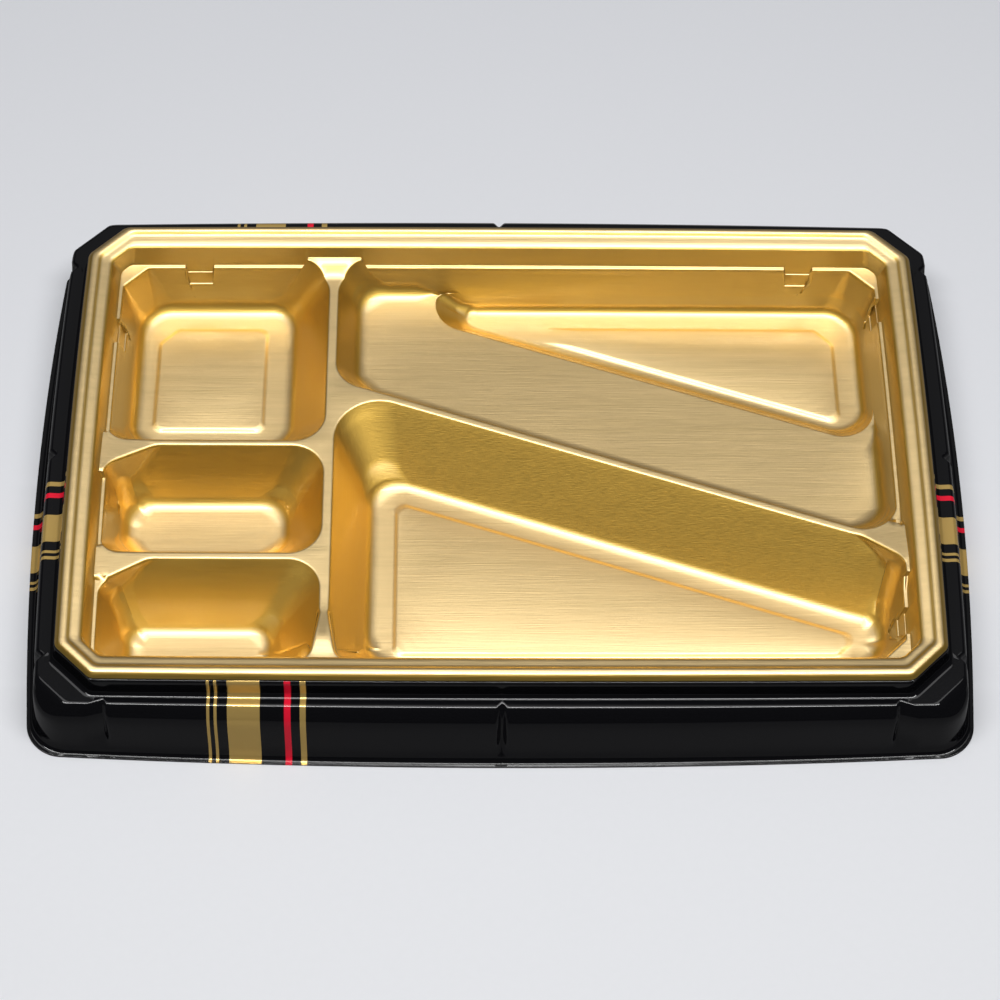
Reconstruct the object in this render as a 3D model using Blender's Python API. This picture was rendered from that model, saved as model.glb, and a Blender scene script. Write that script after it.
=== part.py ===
"""Take-away bento container: a satin gold compartment insert that drops into a black outer tray.

Both pieces are formed sheet. Each is drawn as one open surface, ring by ring, and a Solidify
modifier gives it the sheet's thickness. Lengths are millimetres until the mesh is made.
The origin is on the table under the middle of the container, +X to the right, +Y to the back.
"""
import math

import bmesh
import bpy
import numpy as np
from mathutils import Vector, geometry

MM = 0.001
ROOT_TWO = math.sqrt(2.0)

# Plan of the insert's rim
RIM_LENGTH = 260.0
RIM_WIDTH = 164.8
RIM_CHAMFER = 10.6
RIM_CORNER_RADIUS = 3.5
RIM_BOW = (1.25, 0.75)

# Heights: of the rim above the table, of the web below the rim, and of the shelf above the floors
RIM_HEIGHT = 26.0
WEB_DEPTH = 7.5
SHELF_RISE = 6.5
BASE_THICKNESS = 0.5
FLOOR_CLEARANCE = 1.5

# Sheets and the gaps between them
INSERT_SHEET = 0.5
TRAY_SHEET = 0.5
SEAT_CLEARANCE = 0.35
WALL_CLEARANCE = 0.7

# Insert rim: insets from its outer edge and heights over the rim plane
LIP_HEIGHT = -0.3
BEAD_FOOT = (1.2, 0.2)
BEAD_CREST = (2.7, 1.05)
BEAD_VALLEY = (4.0, 0.55)
INNER_BEAD = (5.2, 0.85)
RIM_EDGE = (7.3, 0.0)
CUP_TOP = (7.8, -1.0)
CUP_FOOT = 9.6
LEDGE_WIDTH = 1.0
CUP_TOP_CORNER = 7.4
CUP_FOOT_CORNER = 8.2
CORNER_LEDGE_WIDTH = 4.7

# Dividers of the insert, at the level of their tops: the column divider from the left wall, the lower
# one from the front wall, the upper one from the lower one, the slanted one from the front wall at X 0
LEFT_COLUMN = 66.8
COLUMN_RIDGE_WIDTH = 2.8
FRONT_ROW = 35.75
LOWER_RIDGE_WIDTH = 2.3
MIDDLE_ROW = 40.75
UPPER_RIDGE_WIDTH = 1.9
SLANT_ROW = 81.55
SLANT_RIDGE_WIDTH = 2.3
SLANT_ANGLE = -18.9
EDGE_ROUNDING = 0.9

# Wall slopes, measured from the vertical, in degrees
OUTER_LEAN = 17.0
CORNER_LEAN = 22.0
DIVIDER_LEAN = 36.0
NEAR_LEAN = 22.0
SMALL_LEAN = 45.0
SMALL_OUTER_LEAN = 27.0
SLANT_LEAN = 49.5
TROUGH_LEAN = 41.0
TROUGH_END_LEAN = 58.0

# Corner radii at the top of a compartment and at its floor, and the floor fillets
WIDE_CORNER = 10.0
BROAD_CORNER = 14.0
TIGHT_CORNER = 5.5
CHAMFER_CORNER = 3.0
FLOOR_CORNER = 8.5
SMALL_FLOOR_CORNER = 6.0
FLOOR_FILLET = 5.0

# Tapers of the compartments' corners beside the gussets
TAPER_HEADING = 212.0
TAPER_START = 15.0
SLANT_TAPER_HEADING = 139.1
SLANT_TAPER_START = 12.0
TAPER_CORNER = 8.0
TAPER_LEAN = 8.0

# Trough: the deeper wedge at the back of the largest compartment, from the back wall at X 0 and
# from the column divider
TROUGH_REACH = 21.6
TROUGH_START = 32.1
TROUGH_CORNER = 10.0
TROUGH_BACK_CORNER = 4.0
TROUGH_FLOOR_CORNER = 5.0
TROUGH_TIP_CORNER = 3.4
TROUGH_FILLET = 4.0
SEAM = 0.02

# Raised floor panels: insets from the sides of the floor that each follows
PANEL_RISE = 0.7
PANEL_RUN = 2.0
PANEL_CORNER = 3.0
SQUARE_PANEL = (6.6, 7.6, 7.4, 8.4, 5.5)
TROUGH_PANEL = (2.6, 6.9, 8.9, 6.7, None)
CORNER_PANEL = (4.7, 7.8, None, None, 5.6, 6.6)

# Gussets, where a divider rises to the rim wall: length, shift of the end, rise and half width
BACK_GUSSET = (5.0, 0.0, 3.5, 7.0)
FRONT_GUSSET = (13.0, 0.0, 3.5, 5.5)
UPPER_GUSSET = (15.5, -5.0, 2.6, 5.5)
LOWER_GUSSET = (15.0, -2.8, 0.9, 4.5)
SLANT_GUSSET = (13.0, -6.4, 2.9, 6.5)
SLANT_GUSSET_ROW = 43.8
GUSSET_FADE = 2.5
LEDGE_LEAST = 0.7

# Notches in the ledge, where nested inserts come apart
NOTCH_WIDTH = 7.6
NOTCH_DROP = 6.2
NOTCH_WALL_DROP = 2.5
NOTCH_X = 95.6
LEFT_NOTCH_Y = 47.0
RIGHT_NOTCH_Y = 56.0
CORNER_NOTCH_Y = -58.3
NOTCH_FLANK = 0.4

# Outer tray: outsets from the insert's rim in X and in Y, bows, and depths below the rim
UPPER_WALL = (1.2, 1.9)
LEDGE_EDGE = (5.95, 4.8)
LEDGE_DEPTH = 7.1
LEDGE_BOW = (2.11, 1.0)
SHOULDER = (6.4, 7.1)
SHOULDER_DEPTH = 9.6
SHOULDER_BOW = (2.25, 1.5)
FACET = (6.75, 8.1)
FACET_DEPTH = 13.0
FACET_BOW = (2.5, 2.0)
FLARE = (7.4, 9.2)
FLARE_DEPTH = 21.0
FLARE_BOW = (2.95, 2.8)
FOOT = (10.0, 11.8)
FOOT_BOW = (3.98, 3.87)
LIP_WIDTH = 1.4
LEDGE_CHAMFER = 10.2
TRAY_CORNER = 1.5
FOOT_RADIUS = 9.5
CREASE = 0.5
BASE_FILLET = 2.0
FILLET_FOOT = 0.3
TRAY_FLOOR_CORNER = 4.5

# Grooves down the skirt
GROOVE_DEPTH = 0.8
GROOVE_WIDTH = 4.6
GROOVE_X = 115.2
GROOVE_Y = 70.8

# Facets
ARC_STEP = 24.0
SIDE_STEP = 26.0
FILLET_STEPS = 2
EDGE_STEPS = 2
GROUND_PASSES = 6
FIT_PASSES = 60
CORNER_SHRINK = 0.95
FILLET_SHARE = 0.88
LEAST_SIDE = 0.5
LEAST_AREA = 0.002
MARK_REACH = 1.5
MARK_ROOM = 1.0
MARK_CLEAR = 3.0
WELD = 0.05

HALF_LENGTH = RIM_LENGTH / 2.0
HALF_WIDTH = RIM_WIDTH / 2.0
CHAMFER_SUM = HALF_LENGTH + HALF_WIDTH - RIM_CHAMFER
WEB_Z = RIM_HEIGHT - WEB_DEPTH
FLOOR_Z = BASE_THICKNESS + FLOOR_CLEARANCE + INSERT_SHEET
SHELF_Z = FLOOR_Z + SHELF_RISE
NOTCH_HALF = NOTCH_WIDTH / 2.0
POCKET_INSET = CUP_FOOT + LEDGE_WIDTH
POCKET_X = HALF_LENGTH - POCKET_INSET
POCKET_Y = HALF_WIDTH - POCKET_INSET
COLUMN_RIDGE_X = LEFT_COLUMN - POCKET_X
LOWER_RIDGE_Y = FRONT_ROW - POCKET_Y
UPPER_RIDGE_Y = LOWER_RIDGE_Y + MIDDLE_ROW
SLANT_RIDGE_Y = SLANT_ROW - POCKET_Y
SLANT_GUSSET_Y = SLANT_GUSSET_ROW - POCKET_Y
TROUGH_Y = POCKET_Y - TROUGH_REACH
TROUGH_END_X = COLUMN_RIDGE_X + TROUGH_START
POCKET_SUM = CHAMFER_SUM - ROOT_TWO * (CUP_FOOT_CORNER + CORNER_LEDGE_WIDTH)
CUP_SLOPE = (CUP_FOOT - CUP_TOP[0]) / (WEB_DEPTH + CUP_TOP[1])
CUP_CORNER_SLOPE = (CUP_FOOT_CORNER - CUP_TOP_CORNER) / (WEB_DEPTH + CUP_TOP[1])


def clamp(value, low=0.0, high=1.0):
    """Keep a value between two others."""
    return min(max(value, low), high)


def bowed(x, y, bow, half_x, half_y):
    """Bow an outline of these half sizes outwards, and leave the dividers nearly where they are."""
    reach_x = min(abs(x) / half_x, 1.1)
    reach_y = min(abs(y) / half_y, 1.1)
    grow_x = bow[0] * max(0.0, 1.0 - reach_y ** 2) * reach_x ** 3
    grow_y = bow[1] * max(0.0, 1.0 - reach_x ** 2) * reach_y ** 3
    return x + math.copysign(grow_x, x), y + math.copysign(grow_y, y)


class Side:
    """A straight side of an outline, going counter-clockwise, and the corner that ends it."""

    def __init__(self, heading, point, lean=0.0, radius=0.0, fillet=0.0, edge=EDGE_ROUNDING,
                 floor_radius=FLOOR_CORNER):
        angle = math.radians(heading)
        self.along = np.array((math.cos(angle), math.sin(angle)))
        self.inward = np.array((-self.along[1], self.along[0]))
        self.level = float(np.dot(self.inward, point))
        self.lean = math.radians(lean)
        self.radius = radius
        self.fillet = fillet
        self.edge = edge
        self.floor_radius = floor_radius
        self.slips = False

    def shifted(self, inset):
        """A plain side that runs along this one, further in."""
        heading = math.degrees(math.atan2(self.along[1], self.along[0]))
        return Side(heading, self.inward * (self.level + inset))


class Outline:
    """A convex outline of straight sides with rounded corners, and its points."""

    def __init__(self, sides, marks=(), side_step=SIDE_STEP):
        self.sides = sides
        self.after = sides[1:] + sides[:1]
        self.turns = [math.acos(clamp(float(np.dot(one.along, two.along)), -1.0))
                      for one, two in zip(self.sides, self.after)]
        self.arcs = [max(1, round(math.degrees(turn) / ARC_STEP * clamp(max(side.radius, side.floor_radius) / 4.0)))
                     for turn, side in zip(self.turns, self.sides)]
        self.stops = [self.spread(i, marks, side_step) for i in range(len(sides))]
        self.leans, self.edges, self.fillets = self.attributes()

    def runs(self, insets, radii):
        """Start and end of each side's straight part, and the radii that fit.

        A side that slips vanishes where it has no room left; the corners of any other one shrink.
        """
        count = len(self.sides)
        levels = [side.level + inset for side, inset in zip(self.sides, insets)]
        fitted = list(radii)
        gone = set()
        for _ in range(FIT_PASSES):
            centres = []
            for i in range(count):
                after = (i + 1) % count
                one = i - 1 if i in gone else i
                two = (i + 2) % count if after in gone else after
                fitted[i] = fitted[after] if after in gone else fitted[i]
                matrix = np.array((self.sides[one].inward, self.sides[two].inward))
                target = np.array((levels[one] + fitted[i], levels[two] + fitted[i]))
                centres.append(np.linalg.solve(matrix, target))
            short = [i for i in range(count) if i not in gone and
                     float(np.dot(centres[i] - centres[i - 1], self.sides[i].along)) < 0.0]
            if not short:
                break
            for i in short:
                if self.sides[i].slips:
                    gone.add(i)
                else:
                    fitted[i - 1] *= CORNER_SHRINK
                    fitted[i] *= CORNER_SHRINK
        starts = [centres[i - 1] - self.sides[i].inward * fitted[i - 1] for i in range(count)]
        ends = [centres[i] - self.sides[i].inward * fitted[i] for i in range(count)]
        return starts, ends, fitted

    def spread(self, i, marks, side_step):
        """Where a side has points, as shares of its straight part: evenly, and at the marks on it."""
        side = self.sides[i]
        starts, ends, _ = self.runs([0.0] * len(self.sides), [s.radius for s in self.sides])
        low = float(np.dot(side.along, starts[i]))
        high = float(np.dot(side.along, ends[i]))
        if high - low < LEAST_SIDE:
            return []
        pieces = max(1, round((high - low) / side_step))
        even = [low + (high - low) * (1.0 - math.cos(math.pi * k / pieces)) / 2.0 for k in range(1, pieces)]
        marked = []
        for mark in marks:
            distance = float(np.dot(side.inward, mark)) - side.level
            place = float(np.dot(side.along, mark))
            if abs(distance) < MARK_REACH and low + MARK_ROOM < place < high - MARK_ROOM:
                marked.append(place)
        clear = [place for place in even if all(abs(place - mark) > MARK_CLEAR for mark in marked)]
        return [(place - low) / (high - low) for place in sorted(clear + marked)]

    def attributes(self):
        """Lean, edge rounding and floor fillet of each point."""
        leans = []
        edges = []
        fillets = []
        for i, (one, two) in enumerate(zip(self.sides, self.after)):
            shares = [0.0] * len(self.stops[i]) + [k / self.arcs[i] for k in range(self.arcs[i] + 1)]
            leans += [one.lean + (two.lean - one.lean) * share for share in shares]
            edges += [one.edge + (two.edge - one.edge) * share for share in shares]
            fillets += [one.fillet + (two.fillet - one.fillet) * share for share in shares]
        return leans, edges, fillets

    def path(self, insets, radii):
        """Points around the outline and their outward directions."""
        starts, ends, fitted = self.runs(insets, radii)
        points = []
        normals = []
        for i, side in enumerate(self.sides):
            for stop in self.stops[i]:
                points.append(starts[i] + (ends[i] - starts[i]) * stop)
                normals.append(-side.inward)
            centre = ends[i] + side.inward * fitted[i]
            for k in range(self.arcs[i] + 1):
                angle = self.turns[i] * k / self.arcs[i]
                spoke = -side.inward * math.cos(angle) + side.along * math.sin(angle)
                points.append(centre + spoke * fitted[i])
                normals.append(spoke)
        return points, normals


class Pocket(Outline):
    """A compartment: walls that lean out from a floor, filleted below and rounded at the top."""

    def __init__(self, sides, top, floor, marks=(), side_step=SIDE_STEP):
        super().__init__(sides, marks, side_step)
        self.top = top
        self.floor = floor
        self.feet = [(top - floor) * math.tan(side.lean) for side in sides]
        least = FILLET_SHARE * min(self.runs(self.feet, [side.floor_radius for side in sides])[2])
        self.fillets = [min(fillet, least * math.cos(lean) / (1.0 - math.sin(lean)))
                        for fillet, lean in zip(self.fillets, self.leans)]

    def edge_ring(self, share, ground):
        """One ring of the rounded top edge: share 0 on the flat, 1 on the wall."""
        points, normals = self.path([0.0] * len(self.sides), [side.radius for side in self.sides])
        ring = []
        for point, normal, lean, edge in zip(points, normals, self.leans, self.edges):
            reach = edge * (1.0 - math.sin(lean)) / math.cos(lean)
            lift = 0.0
            for _ in range(GROUND_PASSES):
                lift = ground(*(point + normal * (math.tan(lean) * lift + reach)))
            angle = share * (math.pi / 2.0 - lean)
            outset = math.tan(lean) * lift + reach
            outset -= clear_of_wall(point + normal * outset, lift) + edge * math.sin(angle)
            place = point + normal * outset
            ring.append((place[0], place[1], self.top + lift - edge * (1.0 - math.cos(angle))))
        return ring

    def fillet_ring(self, share):
        """One ring of the floor fillet: share 0 where the wall ends, 1 on the floor."""
        points, normals = self.path(self.feet, [side.floor_radius for side in self.sides])
        ring = []
        for point, normal, lean, radius in zip(points, normals, self.leans, self.fillets):
            angle = (1.0 - share) * (math.pi / 2.0 - lean)
            shift = radius * ((1.0 - math.sin(lean)) / math.cos(lean) - math.sin(angle))
            place = point - normal * shift
            ring.append((place[0], place[1], self.floor + radius * (1.0 - math.cos(angle))))
        return ring


class Sheet:
    """An open surface under construction."""

    def __init__(self):
        self.vertices = []
        self.plan = []
        self.faces = []

    def ring(self, places, bow=RIM_BOW, half_x=HALF_LENGTH, half_y=HALF_WIDTH):
        """Add a ring of points and give their numbers."""
        first = len(self.vertices)
        for x, y, z in places:
            bent = bowed(x, y, bow, half_x, half_y)
            self.vertices.append((bent[0], bent[1], z))
            self.plan.append((x, y))
        return list(range(first, len(self.vertices)))

    def bridge(self, outer, inner):
        """Quads between two rings of equal count, the outer one first, facing up."""
        count = len(outer)
        for i in range(count):
            j = (i + 1) % count
            self.faces.append((outer[i], outer[j], inner[j], inner[i]))

    def bands(self, rings):
        """Bridge each ring to the next one inwards."""
        for outer, inner in zip(rings, rings[1:]):
            self.bridge(outer, inner)

    def fill(self, outer, holes=()):
        """Triangles between an outer ring and the rings inside it, facing up."""
        loops = [outer] + list(holes)
        numbers = [number for loop in loops for number in loop]
        flat = [Vector(self.plan[number]) for number in numbers]
        edges = []
        start = 0
        for loop in loops:
            edges += [(start + i, start + (i + 1) % len(loop)) for i in range(len(loop))]
            start += len(loop)
        points, _, triangles, origins, _, _ = geometry.delaunay_2d_cdt(flat, edges, [], 0, 1e-7)
        level = self.vertices[loops[-1][0]][2]
        known = [numbers[origin[0]] if origin else self.ring([(point.x, point.y, level)])[0]
                 for point, origin in zip(points, origins)]
        borders = [np.array([self.plan[number] for number in loop]) for loop in loops]
        for triangle in triangles:
            corners = [points[number] for number in triangle]
            if geometry.area_tri(*corners) < LEAST_AREA:
                continue
            middle = (corners[0] + corners[1] + corners[2]) / 3.0
            if inside(borders[0], middle) and not any(inside(hole, middle) for hole in borders[1:]):
                self.faces.append(tuple(known[number] for number in triangle))

    def finish(self, name, thickness, material):
        """Make the object: the surface, with the sheet's thickness behind it."""
        mesh = bpy.data.meshes.new(name)
        mesh.from_pydata([(x * MM, y * MM, z * MM) for x, y, z in self.vertices], [], self.faces)
        surface = bmesh.new()
        surface.from_mesh(mesh)
        bmesh.ops.remove_doubles(surface, verts=surface.verts, dist=WELD * MM)
        bmesh.ops.dissolve_degenerate(surface, edges=surface.edges, dist=WELD * MM)
        surface.to_mesh(mesh)
        surface.free()
        mesh.shade_smooth()
        mesh.set_sharp_from_angle(angle=math.radians(30.0))
        mesh.materials.append(material)
        piece = bpy.data.objects.new(name, mesh)
        bpy.context.collection.objects.link(piece)
        shell = piece.modifiers.new("Sheet", "SOLIDIFY")
        shell.thickness = thickness * MM
        shell.offset = -1.0
        shell.use_even_offset = False
        shell.use_quality_normals = True
        return piece


def inside(border, point):
    """Whether a point lies in a closed outline."""
    ends = np.roll(border, -1, axis=0)
    spans = (border[:, 1] > point[1]) != (ends[:, 1] > point[1])
    starts, ends = border[spans], ends[spans]
    shares = (point[1] - starts[:, 1]) / (ends[:, 1] - starts[:, 1])
    crossings = starts[:, 0] + (ends[:, 0] - starts[:, 0]) * shares
    return bool(np.count_nonzero(crossings > point[0]) % 2)


def octagon(half_x, half_y, total, radius):
    """The chamfered outline that the rim and the tray follow; total is |x| + |y| on a chamfer."""
    middle = total / 2.0
    return [Side(0, (0, -half_y), 0, radius), Side(45, (middle, -middle), 0, radius),
            Side(90, (half_x, 0), 0, radius), Side(135, (middle, middle), 0, radius),
            Side(180, (0, half_y), 0, radius), Side(225, (-middle, middle), 0, radius),
            Side(270, (-half_x, 0), 0, radius), Side(315, (-middle, -middle), 0, radius)]


def notches():
    """Centres of the ledge's notches and the directions that they run along."""
    foot_x = HALF_LENGTH - CUP_FOOT
    foot_y = HALF_WIDTH - CUP_FOOT
    return [((-NOTCH_X, foot_y), (1, 0)), ((NOTCH_X, foot_y), (1, 0)),
            ((-NOTCH_X, -foot_y), (1, 0)), ((NOTCH_X, -foot_y), (1, 0)),
            ((-foot_x, LEFT_NOTCH_Y), (0, 1)), ((foot_x, RIGHT_NOTCH_Y), (0, 1)),
            ((foot_x, CORNER_NOTCH_Y), (0, 1))]


def gussets():
    """Each gusset: its apex on a divider, the middle of its end at the rim wall, rise and half width."""
    foot_x = HALF_LENGTH - CUP_FOOT
    foot_y = HALF_WIDTH - CUP_FOOT
    found = []
    for side, (length, shift, rise, half) in ((1, BACK_GUSSET), (-1, FRONT_GUSSET)):
        apex = (COLUMN_RIDGE_X, side * (foot_y - length))
        found.append((apex, (COLUMN_RIDGE_X + shift, side * foot_y), rise, half))
    for side, y, (length, shift, rise, half) in ((-1, UPPER_RIDGE_Y, UPPER_GUSSET),
                                                 (-1, LOWER_RIDGE_Y, LOWER_GUSSET),
                                                 (1, SLANT_GUSSET_Y, SLANT_GUSSET)):
        found.append(((side * (foot_x - length), y), (side * foot_x, y + shift), rise, half))
    return found


def clear_of_wall(place, lift):
    """How far a place on the web has to come in to stay clear of the rim wall."""
    beyond = [HALF_LENGTH - abs(place[0]), HALF_WIDTH - abs(place[1]),
              (CHAMFER_SUM - abs(place[0]) - abs(place[1])) / ROOT_TWO + CUP_FOOT - CUP_FOOT_CORNER]
    return max(0.0, CUP_FOOT - CUP_SLOPE * lift + LEDGE_LEAST - min(beyond))


def ground(x, y):
    """Height of the web over its own level: up at a gusset, down in a notch."""
    lift = 0.0
    for apex, end, rise, half in gussets():
        span = np.subtract(end, apex)
        length = float(np.linalg.norm(span))
        toward = span / length
        offset = np.subtract((x, y), apex)
        ahead = clamp(float(np.dot(offset, toward)) / length)
        aside = abs(float(offset[0] * toward[1] - offset[1] * toward[0]))
        fade = clamp((half + GUSSET_FADE - aside) / GUSSET_FADE)
        lift = max(lift, rise * ahead * fade)
    for centre, along in notches():
        offset = np.subtract((x, y), centre)
        beside = abs(float(np.dot(offset, along)))
        away = abs(float(offset[0] * along[1] - offset[1] * along[0]))
        if beside < NOTCH_HALF + NOTCH_FLANK / 2.0 and away < LEDGE_WIDTH + NOTCH_DROP / 2.0:
            lift = -NOTCH_WALL_DROP - (NOTCH_DROP - NOTCH_WALL_DROP) * clamp(away / LEDGE_WIDTH)
    return lift


def wall_marks():
    """Points on the rim wall's foot where the web changes height."""
    marks = []
    for centre, along in notches():
        for shift in (-NOTCH_HALF - NOTCH_FLANK, -NOTCH_HALF, NOTCH_HALF, NOTCH_HALF + NOTCH_FLANK):
            marks.append(np.add(centre, np.multiply(along, shift)))
    for apex, end, _, half in gussets():
        span = np.subtract(end, apex)
        across = (0, 1) if abs(span[0]) > abs(span[1]) else (1, 0)
        for shift in (-1.0, -0.5, 0.0, 0.5, 1.0):
            marks.append(np.add(end, np.multiply(across, shift * half)))
    return marks


def compartments():
    """The five compartments: large at the back right, then three at the left and the corner one."""
    half = COLUMN_RIDGE_WIDTH / 2.0
    marks = wall_marks()
    slant = math.radians(SLANT_ANGLE)
    slant_half = SLANT_RIDGE_WIDTH / 2.0 / math.cos(slant)
    chamfer = POCKET_SUM / 2.0

    def front(lean, radius):
        return Side(0, (0, -POCKET_Y), lean, radius, FLOOR_FILLET)

    def right(radius):
        return Side(90, (POCKET_X, 0), OUTER_LEAN, radius, FLOOR_FILLET)

    def left(lean, radius):
        return Side(270, (-POCKET_X, 0), lean, radius, FLOOR_FILLET)

    def chamfered(heading, x, y):
        return Side(heading, (x * chamfer, y * chamfer), CORNER_LEAN, CHAMFER_CORNER, FLOOR_FILLET)

    def column(heading, lean, radius):
        edge = COLUMN_RIDGE_X + (half if heading == 270 else -half)
        return Side(heading, (edge, 0), lean, radius, FLOOR_FILLET)

    def across(heading, y, lean, radius):
        return Side(heading, (0, y), lean, radius, FLOOR_FILLET)

    def slipping(heading, point):
        side = Side(heading, point, TAPER_LEAN, TAPER_CORNER, FLOOR_FILLET)
        side.slips = True
        return side

    def taper(y):
        return slipping(TAPER_HEADING, (TAPER_START - POCKET_X, y))

    upper_front = UPPER_RIDGE_Y + UPPER_RIDGE_WIDTH / 2.0
    upper_back = UPPER_RIDGE_Y - UPPER_RIDGE_WIDTH / 2.0
    lower_front = LOWER_RIDGE_Y + LOWER_RIDGE_WIDTH / 2.0
    lower_back = LOWER_RIDGE_Y - LOWER_RIDGE_WIDTH / 2.0
    bend_x = POCKET_X - SLANT_TAPER_START
    bend_y = SLANT_RIDGE_Y - slant_half + math.tan(slant) * bend_x

    large = Pocket([Side(360 + SLANT_ANGLE, (0, SLANT_RIDGE_Y + slant_half), NEAR_LEAN, WIDE_CORNER,
                         FLOOR_FILLET),
                    Side(90, (POCKET_X, 0), OUTER_LEAN, CHAMFER_CORNER, 0.0),
                    Side(135, (chamfer, chamfer), CORNER_LEAN, CHAMFER_CORNER, 0.0),
                    Side(180, (0, POCKET_Y), OUTER_LEAN, WIDE_CORNER, 0.0),
                    column(270, DIVIDER_LEAN, WIDE_CORNER)], WEB_Z, SHELF_Z, marks)
    square = Pocket([across(0, upper_front, NEAR_LEAN, WIDE_CORNER),
                     column(90, DIVIDER_LEAN, WIDE_CORNER),
                     Side(180, (0, POCKET_Y), OUTER_LEAN, CHAMFER_CORNER, FLOOR_FILLET),
                     chamfered(225, -1, 1), left(OUTER_LEAN, TIGHT_CORNER)], WEB_Z, FLOOR_Z, marks)
    middle = Pocket([across(0, lower_front, NEAR_LEAN, WIDE_CORNER),
                     column(90, DIVIDER_LEAN, WIDE_CORNER),
                     across(180, upper_back, DIVIDER_LEAN, TAPER_CORNER), taper(upper_back),
                     left(OUTER_LEAN, TIGHT_CORNER)], WEB_Z, FLOOR_Z, marks)
    front_left = Pocket([front(OUTER_LEAN, WIDE_CORNER), column(90, SMALL_LEAN, WIDE_CORNER),
                         across(180, lower_back, SMALL_LEAN, TAPER_CORNER), taper(lower_back),
                         left(SMALL_OUTER_LEAN, CHAMFER_CORNER), chamfered(315, -1, -1)],
                        WEB_Z, FLOOR_Z, marks)
    for side in front_left.sides:
        side.floor_radius = SMALL_FLOOR_CORNER
    corner = Pocket([front(OUTER_LEAN, CHAMFER_CORNER), chamfered(45, 1, -1), right(TAPER_CORNER),
                     slipping(SLANT_TAPER_HEADING, (bend_x, bend_y)),
                     Side(180 + SLANT_ANGLE, (0, SLANT_RIDGE_Y - slant_half), SLANT_LEAN, BROAD_CORNER,
                          FLOOR_FILLET),
                     column(270, DIVIDER_LEAN, WIDE_CORNER)], WEB_Z, FLOOR_Z, marks)
    return large, square, middle, front_left, corner


def trough_in(large):
    """The trough, whose back and right walls carry on from those of the large compartment."""
    drop = large.top - large.floor
    front = Side(360 + SLANT_ANGLE, (0, TROUGH_Y), TROUGH_LEAN, TROUGH_CORNER)
    walls = []
    for wall in large.sides[1:4]:
        lower = wall.shifted(drop * math.tan(wall.lean) + SEAM)
        lower.lean = wall.lean
        lower.edge = 0.0
        lower.radius = FLOOR_CORNER
        walls.append(lower)
    walls[-1].radius = TROUGH_BACK_CORNER
    walls[-1].floor_radius = TROUGH_TIP_CORNER
    end = Side(270, (TROUGH_END_X, 0), TROUGH_END_LEAN, TROUGH_CORNER, floor_radius=TROUGH_FLOOR_CORNER)
    sides = [front, *walls, end]
    for side in sides:
        side.fillet = TROUGH_FILLET
    seam = [place[:2] for place in large.fillet_ring(1.0)]
    return Pocket(sides, large.floor, FLOOR_Z, seam, RIM_LENGTH)


def panel_in(pocket, insets):
    """Outline of a raised panel in a compartment's floor, inset from the sides that it follows."""
    drop = pocket.top - pocket.floor
    sides = []
    for wall, inset in zip(pocket.sides, insets):
        if inset is not None:
            side = wall.shifted(drop * math.tan(wall.lean) + inset)
            side.radius = PANEL_CORNER
            sides.append(side)
    return Outline(sides)


def add_panel(sheet, outline):
    """A raised panel, and the ring where it meets the floor."""
    rings = []
    for inset, rise in ((0.0, 0.0), (PANEL_RUN, PANEL_RISE)):
        radii = [side.radius for side in outline.sides]
        points, _ = outline.path([inset] * len(outline.sides), radii)
        rings.append(sheet.ring([(x, y, FLOOR_Z + rise) for x, y in points]))
    sheet.bands(rings)
    sheet.fill(rings[1])
    return rings[0]


def add_pocket(sheet, pocket, surface):
    """A compartment's rings from its top edge to its floor; gives the first and the last."""
    rings = [sheet.ring(pocket.edge_ring(step / EDGE_STEPS, surface)) for step in range(EDGE_STEPS + 1)]
    rings += [sheet.ring(pocket.fillet_ring(step / FILLET_STEPS)) for step in range(FILLET_STEPS + 1)]
    sheet.bands(rings)
    return rings[0], rings[-1]


def rim_rings(sheet):
    """The insert's rim: lip, two beads, inner edge and the wall down to the web."""
    foot_sum = CHAMFER_SUM - ROOT_TWO * CUP_FOOT_CORNER
    sides = octagon(HALF_LENGTH - CUP_FOOT, HALF_WIDTH - CUP_FOOT, foot_sum, RIM_CORNER_RADIUS)
    outline = Outline(sides, wall_marks())
    profile = [(0.0, 0.0, LIP_HEIGHT), (BEAD_FOOT[0], BEAD_FOOT[0], BEAD_FOOT[1]),
               (BEAD_CREST[0], BEAD_CREST[0], BEAD_CREST[1]),
               (BEAD_VALLEY[0], BEAD_VALLEY[0], BEAD_VALLEY[1]),
               (INNER_BEAD[0], INNER_BEAD[0], INNER_BEAD[1]),
               (RIM_EDGE[0], CUP_TOP_CORNER - 0.5, RIM_EDGE[1]),
               (CUP_TOP[0], CUP_TOP_CORNER, CUP_TOP[1])]
    rings = []
    for inset, corner, rise in profile:
        insets = [inset - CUP_FOOT, corner - CUP_FOOT_CORNER] * 4
        points, _ = outline.path(insets, [RIM_CORNER_RADIUS] * 8)
        rings.append(sheet.ring([(x, y, RIM_HEIGHT + rise) for x, y in points]))
    points, normals = outline.path([0.0] * 8, [RIM_CORNER_RADIUS] * 8)
    foot = []
    for point, normal in zip(points, normals):
        lift = ground(*point)
        place = point + normal * CUP_SLOPE * lift
        foot.append((place[0], place[1], WEB_Z + lift))
    rings.append(sheet.ring(foot))
    sheet.bands(rings)
    return rings[-1]


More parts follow.
